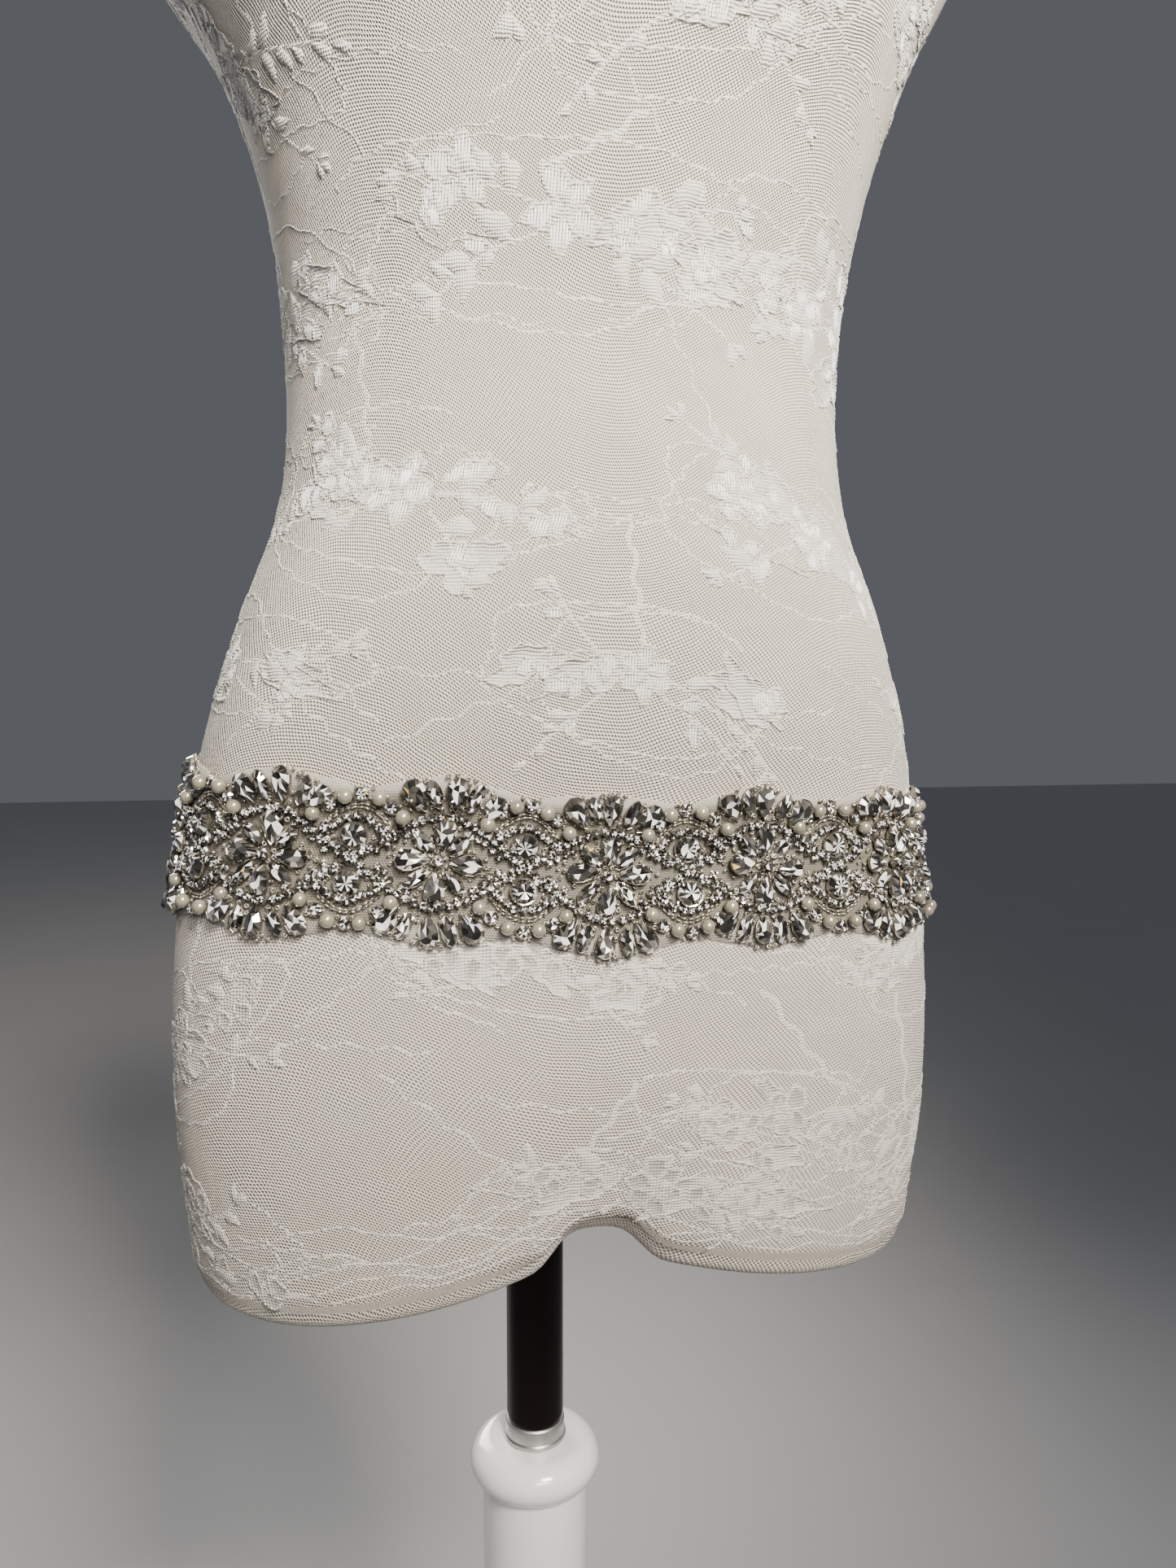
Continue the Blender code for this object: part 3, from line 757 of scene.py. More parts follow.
def lace_ground_material(colour):
    """Fine stretch net over a warmer knit, its rows sagging and drawn out where the cloth is pulled."""
    made, tree, shader = plain_material("lace_ground")
    across, up = cloth_grid(tree)
    slow, pull = noise(tree, 9.0, 3.0), noise(tree, 34.0)
    turn = maths(tree, "MULTIPLY", across, 2 * math.pi * NET_SAGS / GIRTH)
    sides = maths(tree, "ABSOLUTE", maths(tree, "SINE", turn))
    across = maths(tree, "ADD", across, maths(tree, "MULTIPLY", slow, 30.0))
    up = maths(tree, "ADD", up, maths(tree, "MULTIPLY", pull, 6.0))
    up = maths(tree, "ADD", up, maths(tree, "MULTIPLY", maths(tree, "COSINE", turn), NET_SAG))
    even = maths(tree, "SUBTRACT", slow, maths(tree, "MULTIPLY", sides, 0.20))
    drawn = ramp(tree, even, 0.30, 0.55, 0.12, 1.0)
    holes = net_holes(tree, across, up, 1.28, drawn)
    open_part = ramp(tree, holes, -0.7, 1.2)
    skin = ramp(tree, noise(tree, 5.0, 1.0), 0.35, 0.65)
    warm = mixed(tree, skin, (0.46, 0.388, 0.332), (0.45, 0.397, 0.305))
    cloth = mixed(tree, open_part, colour, warm)
    loose = mixed(tree, ramp(tree, pull, 0.30, 0.75, 0.0, 0.30), cloth, dimmed(colour, 0.88))
    bump(tree, shader, maths(tree, "MULTIPLY", holes, -1.0), 0.8, 0.00025)
    set_inputs(shader, colour=loose, roughness=0.86, sheen=0.2, sheen_roughness=0.5, specular=0.2)
    return made


def clothwork_material(colour):
    """The lace's close-woven leaves and cords: matt, with a fine grain of stitches."""
    made, tree, shader = plain_material("lace_clothwork")
    across, up = cloth_grid(tree)
    slip = maths(tree, "MULTIPLY", noise(tree, 160.0), 2.4)
    rows = maths(tree, "SINE", maths(tree, "MULTIPLY", maths(tree, "ADD", up, slip), 2 * math.pi / 1.1))
    stitches = maths(tree, "SINE", maths(tree, "MULTIPLY", across, 2 * math.pi / 1.2))
    grain = maths(tree, "ADD", rows, stitches)
    woven = mixed(tree, ramp(tree, grain, -1.8, 0.4, 0.55, 0.0), face_tones(tree), dimmed(colour, 0.80))
    bump(tree, shader, grain, 0.7, 0.00018)
    set_inputs(shader, colour=woven, roughness=0.7, sheen=0.3, sheen_roughness=0.4, specular=0.3)
    return made


def satin_thread_material():
    """The lace's bright floats: silky threads."""
    made, tree, shader = plain_material("satin_threads")
    fibres = noise(tree, 1400.0)
    dull = mixed(tree, ramp(tree, fibres, 0.3, 0.8, 0.0, 0.25), face_tones(tree), (0.80, 0.79, 0.77))
    set_inputs(
        shader, colour=dull, roughness=ramp(tree, fibres, 0.2, 0.8, 0.22, 0.40),
        specular=0.75, coat=0.3, coat_roughness=0.25,
    )
    return made


def knit_material(colour):
    """The knit that the form's body wears under the lace."""
    made, tree, shader = plain_material("form_knit")
    loops = node(tree, "ShaderNodeTexVoronoi", {"Vector": object_places(tree), "Scale": 900.0}).outputs[0]
    bump(tree, shader, loops, 0.4, 0.0002)
    knit = mixed(tree, ramp(tree, loops, 0.0, 0.8), dimmed(colour, 0.9), colour)
    set_inputs(shader, colour=knit, roughness=0.9, sheen=0.3)
    return made


def gloss_paint_material(name, colour, roughness, ripple, coat=0.8, specular=0.5):
    """Sprayed gloss paint: a hard coat over slow ripples and a little dust."""
    made, tree, shader = plain_material(name)
    dust = noise(tree, 60.0, 5.0)
    bump(tree, shader, noise(tree, 45.0, 1.0), ripple, 0.0006)
    set_inputs(
        shader, colour=mixed(tree, ramp(tree, dust, 0.45, 0.75, 0.0, 0.12), colour, dimmed(colour, 0.8)),
        roughness=ramp(tree, dust, 0.3, 0.8, roughness, roughness + 0.10),
        coat=coat, coat_roughness=0.06, specular=specular,
    )
    return made


def brushed_ring_material():
    """Metal with fine lines round it."""
    made, tree, shader = plain_material("grey_metal_ring")
    drawn_out = {"Vector": object_places(tree), "Scale": (40.0, 40.0, 2600.0)}
    streaks = noise(tree, 1.0, 3.0, node(tree, "ShaderNodeMapping", drawn_out).outputs[0])
    set_inputs(
        shader, colour=mixed(tree, streaks, (0.36, 0.36, 0.35), (0.58, 0.58, 0.56)),
        roughness=ramp(tree, streaks, 0.3, 0.7, 0.32, 0.5), metallic=0.9,
    )
    return made


def satin_tab_material():
    """Plain satin with a square grain."""
    made, tree, shader = plain_material("satin_tab")
    threads = [maths(tree, "SINE", maths(tree, "MULTIPLY", place, 14.0)) for place in cloth_grid(tree)]
    weave = maths(tree, "MULTIPLY", *threads)
    bump(tree, shader, weave, 0.3, 0.0001)
    set_inputs(
        shader, colour=mixed(tree, ramp(tree, weave, -1.0, 1.0), (0.80, 0.77, 0.71), (0.88, 0.85, 0.80)),
        roughness=0.4, sheen=0.4,
    )
    return made


def paint(piece, material):
    """Give a piece its one material."""
    piece.data.materials.clear()
    piece.data.materials.append(material)
    return piece


# The lace's drawing, in millimetres

# Rows of clusters up the cover: height, how many round it, their size, and how full their leaves are.
LACE_ROWS = (
    (744, 6, 0.95, 0.55),
    (788, 5, 0.80, 0.35),
    (836, 5, 0.90, 0.45),
    (922, 5, 0.85, 0.55),
    (985, 5, 1.00, 0.80),
    (1056, 5, 1.10, 0.95),
    (1128, 4, 0.85, 0.50),
    (1180, 5, 1.15, 1.00),
    (1262, 6, 1.10, 0.85),
    (1340, 5, 1.05, 0.80),
    (1395, 4, 0.80, 0.60),
)
# The kinds of leaf.
PLAIN, SATIN, PATCH = 0, 1, 2
# The net's rows hang this far under their mean in front, behind and at both sides: four sags in all.
NET_SAG, NET_SAGS = 20.0, 4
# Petals have satin floats from this height up.
FLOATS_FROM = 880.0
# Cords that follow the hem: height over it, waves round the form, and how far each wave reaches.
HEM_CORDS = ((13.5, 23, 1.2), (17.5, 17, 2.4), (22.0, 13, 3.4), (27.0, 19, 3.0), (34.0, 11, 5.0))
CORD_HALF, CORD_HIGH = 0.42, 0.42
# The leaves and cords stop under the neck.
LACE_TOP = 1440.0
# How far the middles of leaves, patches and cords stay over the lower edge, in metres.
LEAF_CLEAR, PATCH_CLEAR, CORD_CLEAR = 0.013, 0.030, 0.011


class LaceDrawing:
    """Leaves as (across, up, lean, length, width, kind) and cords as (points, half width, height)."""

    def __init__(self, rng):
        self.rng = rng
        self.leaves, self.cords = [], []

    def leaf(self, x, y, lean, length, width, kind):
        """A leaf that starts at a place and points along its lean."""
        a = math.radians(lean)
        middle = (x + length / 2 * math.sin(a), y + length / 2 * math.cos(a))
        self.leaves.append((*middle, lean, length, width, kind))

    def flower(self, x, y, radius, petals):
        """Hollow petals round three small leaves."""
        rng = self.rng
        turn = rng.uniform(0, 360)
        for i in range(petals):
            long = radius * rng.uniform(0.85, 1.12)
            lean = turn + 360 * i / petals + rng.normal(0, 6)
            self.leaf(x, y, lean, long, long * rng.uniform(0.60, 0.78), SATIN)
        for i in range(3):
            self.leaf(x, y, turn + 30 + 120 * i, radius * 0.42, radius * 0.34, PLAIN)

    def spray(self, x, y, lean, length, size, full):
        """A stem that bends as it goes, with leaves on both sides."""
        rng = self.rng
        bend = rng.uniform(-1.4, 1.4)
        stem, step = [(x, y)], size * (0.90 - 0.30 * full)
        for n in range(int(length / step)):
            lean += bend * step * 0.6 + rng.normal(0, 4)
            a = math.radians(lean)
            x, y = x + step * math.sin(a), y + step * math.cos(a)
            stem.append((x, y))
            shrink = 1 - 0.5 * n * step / length
            for side in (1, -1):
                if rng.random() < 0.30 + 0.30 * full:
                    long = size * shrink * rng.uniform(0.7, 1.3)
                    kind = SATIN if long > 8 and rng.random() < 0.3 else PLAIN
                    out = lean + side * rng.uniform(30, 70)
                    self.leaf(x, y, out, long, long * rng.uniform(0.42, 0.66), kind)
        self.leaf(x, y, lean, size * 0.6, size * 0.3, PLAIN)
        self.cords.append((np.array(stem), 0.9, CORD_HIGH))

    def rim(self, x, y, wide, high, lobes, phase):
        """A scalloped cord most of the way round a cluster."""
        t = np.linspace(phase, phase + 5.2, 120)
        scallops = 0.06 * np.abs(np.sin(lobes * t + phase))
        swell = 1 + 0.12 * np.sin(2 * t + phase) + scallops + 0.05 * np.sin(5 * t)
        points = np.stack((x + wide * swell * np.sin(t), y + high * swell * np.cos(t)), axis=1)
        self.cords.append((points, 0.55, 0.46))

    def tendril(self, x, y, lean, length, half, high):
        """A loose cord, wider ones flat as a ribbon."""
        rng = self.rng
        run = np.arange(0, length, 1.8)
        a = math.radians(lean)
        off = 1.3 * np.sin(run / rng.uniform(11, 19) * 2 * math.pi)
        off += 5 * np.sin(run / 40.0 + rng.uniform(0, 6))
        off -= off[0]
        s, c = math.sin(a), math.cos(a)
        self.cords.append((np.stack((x + run * s + off * c, y + run * c - off * s), axis=1), half, high))

    def cluster(self, size, full):
        """Close-woven patches under flowers, with sprays of leaves, outlines and loose cords round them."""
        rng = self.rng
        for _ in range(4 + int(3 * full)):
            x = rng.uniform(-50, 50) * size
            y = rng.normal(0, 8) * size - 0.002 * x * x
            lean, long, wide = rng.uniform(50, 130), rng.uniform(22, 42) * size, rng.uniform(10, 18) * size
            self.leaves.append((x, y, lean, long, wide, PATCH))
            for _ in range(2):
                lean = rng.uniform(-60, 60)
                beside, under = x + rng.uniform(-9, 9) * size, y - 5 + rng.uniform(-3, 3)
                self.leaf(beside, under, lean, rng.uniform(8, 12), rng.uniform(5, 8), SATIN)
        self.flower(rng.normal(0, 4), rng.normal(0, 3), 13 * size, int(rng.integers(5, 7)))
        if full > 0.75:
            self.flower(rng.uniform(-40, -24) * size, rng.uniform(-12, 12) * size, 12 * size, 5)
        leans = (78, -74, 112, -118)
        for (x, y), lean in zip(round_places(11 * size, leans), leans):
            self.spray(x, y, lean + rng.normal(0, 9), rng.uniform(36, 60) * size, 11.5 * size, full)
        self.rim(0, 0, rng.uniform(54, 68) * size, rng.uniform(18, 25) * size, 15, rng.uniform(0, 6))
        middle, wide, high = rng.uniform(-14, 14), rng.uniform(40, 54) * size, rng.uniform(24, 32) * size
        self.rim(middle, -3, wide, high, 11, rng.uniform(0, 6))
        for side in (1, 1, -1, -1):
            start, lean = rng.uniform(-14, 14), side * rng.uniform(40, 140)
            self.tendril(side * 40 * size, start, lean, rng.uniform(40, 84), CORD_HALF, CORD_HIGH)
        self.tendril(rng.uniform(-30, 30), 12, rng.uniform(-60, 60), rng.uniform(30, 64), 1.5, 0.36)


# The levels of the cloth's table of angles, in millimetres.
CLOTH_LOW, CLOTH_STEP = 690.0, 8.0
CLOTH_HEIGHTS = np.arange(CLOTH_LOW, NECK_TOP / MM + CLOTH_STEP, CLOTH_STEP)


def cloth_table():
    """The angle on the form at even shares of the way round, a row for each level, and each level's girth."""
    angles = bunched_angles()
    points = form_points(angles[None, :], CLOTH_HEIGHTS[:, None] * MM)
    runs = np.linalg.norm(np.diff(points, axis=1), axis=2)
    lengths = np.concatenate((np.zeros((len(runs), 1)), np.cumsum(runs, axis=1)), axis=1)
    shares = np.linspace(0, 1, LINE_STEPS + 1)
    table = np.array([np.interp(shares, row / row[-1], angles) for row in lengths])
    return table, lengths[:, -1] / MM / GIRTH


CLOTH_ANGLES, CLOTH_SHARES = cloth_table()


def cloth_angles(across, up):
    """Angles on the form at places on the cloth, evenly stretched round it at each level."""
    across, up = np.broadcast_arrays(np.asarray(across, float), np.asarray(up, float))
    share = (across / GIRTH + 0.5) % 1.0 * LINE_STEPS
    level = np.clip((up - CLOTH_LOW) / CLOTH_STEP, 0, len(CLOTH_ANGLES) - 1.001)
    i, j = share.astype(int), level.astype(int)
    s, v = share - i, level - j
    low = CLOTH_ANGLES[j, i] * (1 - s) + CLOTH_ANGLES[j, i + 1] * s
    high = CLOTH_ANGLES[j + 1, i] * (1 - s) + CLOTH_ANGLES[j + 1, i + 1] * s
    return low * (1 - v) + high * v


def cloth_across(middle, run, up):
    """Where a run in millimetres from a middle lies across the cloth, at a height."""
    return middle + run / np.interp(up, CLOTH_HEIGHTS, CLOTH_SHARES)


def lace_surface(across, up, out):
    """Points on the cover at places across and up the cloth."""
    points, ways = form_frames(cloth_angles(across, up), np.maximum(up * MM, 0.0))
    return points + ways[..., 2, :] * out[..., None] * MM


def above_edge(across, up, reach):
    """Where places lie well inside the cover, a reach over its lower edge and under its neck."""
    low = bottom_heights(form_points(cloth_angles(across, up), up * MM)[..., 0])
    return (up < LACE_TOP) & (up * MM > low + reach)


def low_relief(name, spots, corners, rings, ragged, levels, colour, rng, base):
    """Leaf-like shapes on the cover, one for each row of (middle, run, up, lean, length, width).

    rings are (share of the outline, height in mm), levels a tone for the faces inside each, and ragged the
    (waves, reach) that make each outline uneven.
    """
    t = np.linspace(0, 2 * math.pi, corners, endpoint=False)
    angle = np.concatenate([t for _ in rings] + [[0.0]])
    share = np.concatenate([np.full(corners, s) for s, _ in rings] + [[0.0]])
    lift = np.concatenate([np.full(corners, h) for _, h in rings] + [[rings[-1][1]]])
    _, cells, counts = ring_shape([[(0.0, 0.0, 0.0)] * corners] * len(rings), close_high=(0, 0, 0))
    turns = rng.uniform(0, 2 * math.pi, (len(spots), len(ragged)))
    swell = 1.0
    for n, (waves, reach) in enumerate(ragged):
        swell = swell + reach * np.sin(waves * angle + turns[:, n:n + 1])
    wide = np.sin(angle) * (0.6 + 0.4 * np.abs(np.sin(angle))) * share * swell * spots[:, 5:6] / 2
    high = -np.cos(angle) * share * swell * spots[:, 4:5] / 2
    lean = np.radians(spots[:, 3:4])
    up = spots[:, 2:3] - wide * np.sin(lean) + high * np.cos(lean)
    across = cloth_across(spots[:, :1], spots[:, 1:2] + wide * np.cos(lean) + high * np.sin(lean), up)
    out = np.broadcast_to(lift + base, across.shape) + rng.uniform(0, 0.12, (len(spots), 1))
    points = lace_surface(across, up, out)
    shift = np.arange(len(spots))[:, None] * len(angle)
    level = np.repeat(levels, corners)[None, :] * rng.uniform(0.95, 1.03, (len(spots), 1))
    return mesh_object(
        name, points.reshape(-1, 3), (cells[None, :] + shift).ravel(), np.tile(counts, len(spots)),
        tones=np.clip(level[..., None] * colour, 0, 1).reshape(-1, 3),
        places=np.stack((across, up), axis=-1).reshape(-1, 2) * MM, smooth=True,
    )


def strips(name, sections, across, up, out, tones):
    """Ridges on the cover: rows of sections across each ridge, as arrays of (section, point across it).

    sections says which rows carry on into the next one.
    """
    points = lace_surface(across, up, out)
    wide = across.shape[1]
    index = np.arange(across.size).reshape(across.shape)
    low, high = index[:-1][sections], index[1:][sections]
    cells = np.stack((low[:, :-1], low[:, 1:], high[:, 1:], high[:, :-1]), axis=-1)
    used, corners = np.unique(cells.reshape(-1), return_inverse=True)
    return mesh_object(
        name, points.reshape(-1, 3)[used], corners.reshape(-1), np.full(corners.size // 4, 4),
        tones=np.repeat(tones[:-1][sections], wide - 1, axis=0),
        places=np.stack((across, up), axis=-1).reshape(-1, 2)[used] * MM, smooth=True,
    )


# The pieces

class SASH_PG_sizes(bpy.types.PropertyGroup):
    """Sizes and colours of the sash"""

    pearl_radius: FloatProperty(
        name="Pearl radius", description="Half a pearl's width", default=0.00255, unit="LENGTH")
    drop_length: FloatProperty(
        name="Teardrop length", description="Length of a teardrop crystal", default=0.0112, unit="LENGTH")
    lens_length: FloatProperty(
        name="Marquise length", description="Length of a marquise crystal", default=0.0100, unit="LENGTH")
    # Shares of a crystal's facets with painted dark reflections and with painted flashes of colour.
    painted_dark_share: FloatProperty(
        name="Dark facets", description="Share of a crystal's facets that look dark", default=0.38,
        subtype="FACTOR", min=0, max=1)
    painted_fire_share: FloatProperty(
        name="Fire", description="Share of facets that flash a colour", default=0.005,
        subtype="FACTOR", min=0, max=1)
    pearl_colour: FloatVectorProperty(
        name="Pearl colour", description="Colour of the pearls", default=(0.25, 0.23, 0.165),
        subtype="COLOR", min=0, max=1)
    # The net's colour in the middle, under the stones, where it is darkened as painted shade.
    net_painted_shade_colour: FloatVectorProperty(
        name="Net colour", description="Colour of the net", default=(0.165, 0.152, 0.122),
        subtype="COLOR", min=0, max=1)


class FORM_PG_sizes(bpy.types.PropertyGroup):
    """Sizes and colours of the dress form"""

    columns: IntProperty(
        name="Columns", description="Faces round the lace cover", default=240, min=36)
    levels: IntProperty(
        name="Levels", description="Faces up the lace cover", default=150, min=20)
    lace_colour: FloatVectorProperty(
        name="Lace colour", description="Colour of the lace's net threads", default=(0.63, 0.588, 0.525),
        subtype="COLOR", min=0, max=1)
    motif_colour: FloatVectorProperty(
        name="Motif colour", description="Colour of the lace's leaves and cords",
        default=(0.64, 0.608, 0.555), subtype="COLOR", min=0, max=1)
    paint_colour: FloatVectorProperty(
        name="Paint colour", description="Colour of the turned column and foot", default=(0.95, 0.945, 0.955),
        subtype="COLOR", min=0, max=1)
    pole_colour: FloatVectorProperty(
        name="Pole colour", description="Colour of the pole", default=(0.0060, 0.0038, 0.0036),
        subtype="COLOR", min=0, max=1)


def sash_sizes():
    return bpy.context.scene.bridal_sash


def form_sizes():
    return bpy.context.scene.dress_form_sizes


def grid_corners(left, right):
    """The corners of the four-sided faces between two grids of point numbers."""
    return np.stack((left[:-1], right[:-1], right[1:], left[1:]), axis=-1).reshape(-1)


def grid_object(name, points, places):
    """A sheet from rows of points, each with its place on the flat cloth."""
    index = np.arange(points[..., 0].size).reshape(points.shape[:2])
    corners = grid_corners(index[:, :-1], index[:, 1:])
    return mesh_object(
        name, points.reshape(-1, 3), corners, np.full(len(corners) // 4, 4),
        places=places.reshape(-1, 2), smooth=True,
    )


def thicken(made, thickness, offset):
    """Give a sheet its thickness."""
    solidify = made.modifiers.new("thickness", "SOLIDIFY")
    solidify.thickness, solidify.offset = thickness, offset


def lower_edge(across):
    """Points of the form's section at its lower edge, at places across the cloth."""
    return form_points(cloth_angles(across, BOTTOM_HEIGHT / MM), BOTTOM_HEIGHT)


def drawn_in(ring, shrink, lift):
    """A ring of the lower edge drawn in towards the form's axis, and lifted from the edge's own height."""
    drawn = ring * np.array((1 - shrink, 1 - shrink, 1))
    drawn[:, 2] = bottom_heights(drawn[:, 0]) + lift
    return drawn


# The cover's hem rolls in under the form by this share of the way to its axis, over this height.
HEM_SHARE, HEM_ROLL = 0.055, 0.008
# How far the body lies inside the form's surface, and the cover outside it.
BODY_UNDER, COVER_OUT = 0.0006, 0.0002


class FORM_OT_body(bpy.types.Operator):
    """Make the form's knit-covered body, closed over its underside and neck"""

    bl_idname = "form.body"
    bl_label = "Form body"

    def execute(self, context):
        count = 120
        across = np.linspace(LENGTHS[0], LENGTHS[-1], count, endpoint=False)
        edge = lower_edge(across)
        # Rings of the underside: how far each is drawn in, and how far it is lifted.
        under = ((0.80, 0.0), (0.5, 0.0), (0.22, 0.0), (0.05, 0.0008), (0.01, 0.005), (0.004, 0.009))
        rings = [drawn_in(edge, shrink, lift) for shrink, lift in under]
        low = bottom_heights(edge[:, 0]) + under[-1][1]
        for share in np.linspace(0.03, 1, 70):
            height = low + (NECK_TOP - 2 * BODY_UNDER - low) * share
            points, ways = form_frames(cloth_angles(across, height / MM), height)
            rings.append(points - ways[:, 2] * BODY_UNDER)
        top = rings[-1]
        middle = top.mean(axis=0)
        for share in (0.97, 0.6, 0.2):
            rings.append(middle + (top - middle) * share + np.array((0, 0, BODY_UNDER)))
        index = np.arange(len(rings) * count).reshape(-1, count)
        sides = grid_corners(index, np.roll(index, -1, axis=1))
        caps = np.concatenate((index[0][::-1], index[-1]))
        counts = np.concatenate((np.full(len(sides) // 4, 4), (count, count)))
        made = mesh_object(
            "form_body", np.concatenate(rings), np.concatenate((sides, caps)), counts, smooth=True,
        )
        paint(made, knit_material(dimmed(form_sizes().lace_colour, 0.92)))
        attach(made, "root")
        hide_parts("dress_form")
        return {"FINISHED"}


class FORM_OT_lace_cover(bpy.types.Operator):
    """Make the fitted net of the lace cover, turned in under the form"""

    bl_idname = "form.lace_cover"
    bl_label = "Lace cover"

    def execute(self, context):
        sizes = form_sizes()
        across = np.linspace(LENGTHS[0], LENGTHS[-1], sizes.columns + 1)
        edge = lower_edge(across)
        rows, ups = [], []
        # The turned-in hem, then its roll, then the cover up to the neck.
        for shrink in (0.16, 0.11, 0.075):
            rows.append(drawn_in(edge, shrink, -0.0005))
            ups.append(np.full(len(across), CLOTH_LOW - shrink * 120))
        for degrees in (0, 18, 36, 54, 72, 90):
            turn = math.radians(degrees)
            shrink, lift = HEM_SHARE * (1 - math.sin(turn)), HEM_ROLL * (1 - math.cos(turn))
            rows.append(drawn_in(edge, shrink, lift - 0.0004))
            ups.append(np.full(len(across), CLOTH_LOW + degrees * 0.1))
        low = bottom_heights(edge[:, 0]) + HEM_ROLL
        for share in np.linspace(0.004, 1, sizes.levels):
            height = low + (NECK_TOP - low) * share
            points, ways = form_frames(cloth_angles(across, height / MM), height)
            rows.append(points + ways[:, 2] * COVER_OUT)
            ups.append(height / MM)
        points = np.array(rows)
        places = np.stack((np.broadcast_to(across, points.shape[:2]), np.array(ups)), axis=-1) * MM
        made = grid_object("lace_cover", points, places)
        paint(made, lace_ground_material(tuple(sizes.lace_colour)))
        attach(made, "root")
        return {"FINISHED"}


class FORM_OT_lace_leaves(bpy.types.Operator):
    """Weave the lace's patches, leaves, satin floats and corded outlines over its net"""

    bl_idname = "form.lace_leaves"
    bl_label = "Lace leaves"

    def execute(self, context):
        rng = np.random.default_rng(7)
        sizes = form_sizes()
        colour = np.array(sizes.motif_colour)
        spots, cords = self.drawn(rng)
        middle, run, up = spots[:, :3].T
        spots = spots[above_edge(cloth_across(middle, run, up), up, LEAF_CLEAR)]
        kinds = spots[:, 6]
        patches = spots[(kinds == PATCH) & (spots[:, 2] * MM > BOTTOM_HEIGHT + PATCH_CLEAR)]
        satin, plain = spots[kinds == SATIN], spots[kinds == PLAIN]
        # Corners, rings, ragged and levels as low_relief takes them. The levels paint each shape's outer ring
        # darker as painted shade at its edge, and the petals' middles darker as painted shade under their
        # satin floats.
        pieces = [
            low_relief(
                "lace_patches", patches, 38, ((1.0, 0.0), (0.955, 0.60), (0.90, 0.12), (0.45, 0.12)),
                ((3, 0.16), (5, 0.12), (8, 0.09), (13, 0.07)), (0.84, 1.02, 0.93, 0.93), colour, rng, 0.04,
            ),
            low_relief(
                "lace_leaves", plain, 12, ((1.0, 0.0), (0.84, 0.34)),
                ((3, 0.18), (4, 0.12), (7, 0.08)), (0.90, 0.97), colour, rng, 0.14,
            ),
            low_relief(
                "lace_petals", satin, 14, ((1.0, 0.0), (0.86, 0.46), (0.70, 0.10)),
                ((3, 0.15), (5, 0.12), (7, 0.06)), (0.88, 1.0, 0.62), colour, rng, 0.16,
            ),
            self.cords_object(cords, colour),
        ]
        cloth = clothwork_material(tuple(colour))
        for piece in pieces:
            paint(piece, cloth)
        pieces.append(paint(self.floats_object(satin, rng), satin_thread_material()))
        for piece in pieces:
            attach(piece, "root")
        return {"FINISHED"}

    def drawn(self, rng):
        """Every cluster's leaves as (middle, run, up, lean, length, width, kind), and all the cords.

        A cord is (middle, runs, ups, half width, height), its run counted across from its cluster's middle.
        """
        spots, cords = [], []
        for row, (height, count, size, full) in enumerate(LACE_ROWS):
            for n in range(count):
                draw = LaceDrawing(rng)
                draw.cluster(size * rng.uniform(0.9, 1.1), full)
                middle = GIRTH * ((n + 0.37 * row) / count + rng.normal(0, 0.02))
                rise = height + rng.normal(0, 9)
                tilt = rng.normal(0, 16)
                c, s = math.cos(math.radians(tilt)), math.sin(math.radians(tilt))
                for x, y, lean, *rest in draw.leaves:
                    spots.append((middle, x * c + y * s, rise + y * c - x * s, lean + tilt, *rest))
                for line, half, high in draw.cords:
                    x, y = line.T
                    cords.append((middle, x * c + y * s, rise + y * c - x * s, half, high))
        across = np.arange(-GIRTH / 2, GIRTH / 2, 2.0)
        low = bottom_heights(lower_edge(across)[:, 0]) / MM
        for offset, waves, reach in HEM_CORDS:
            swing = reach * np.sin(waves * 2 * math.pi * across / GIRTH + offset) + 0.5 * np.sin(across / 3.1)
            up = low + offset + swing
            cords.append((0.0, across * np.interp(up, CLOTH_HEIGHTS, CLOTH_SHARES), up, CORD_HALF, 0.44))
        return np.array(spots, dtype=float), cords

    def cords_object(self, cords, colour):
        """The raised outlines and ribbons, each a low ridge along its points."""
        rows = []
        for middle, x, y, half, high in cords:
            steps = np.concatenate(([0], np.cumsum(np.hypot(np.diff(x), np.diff(y)))))
            at = np.arange(0, steps[-1], 2.7)
            if len(at) < 3:
                continue
            x, y = np.interp(at, steps, x), np.interp(at, steps, y)
            way = unit(np.stack((np.gradient(x), np.gradient(y)), axis=1))
            share = np.array((-1.0, 0.0, 1.0)) * half
            run = x[:, None] + way[:, 1:] * share
            up = y[:, None] - way[:, :1] * share
            thick = 0.85 + 0.15 * np.cos(np.arange(len(at)) * 2.1)
            out = np.stack((np.full(len(at), 0.06), high * thick + 0.1, np.full(len(at), 0.06)), axis=1)
            across = cloth_across(middle, run, up)
            inside = above_edge(across[:, 1], up[:, 1], CORD_CLEAR)
            inside[:-1] &= inside[1:]
            inside[-1] = False
            rows.append((across, up, out, inside))
        across, up, out, inside = (np.concatenate(parts) for parts in zip(*rows))
        return strips("lace_cords", inside[:-1], across, up, out, np.tile(colour, (len(across), 1)))

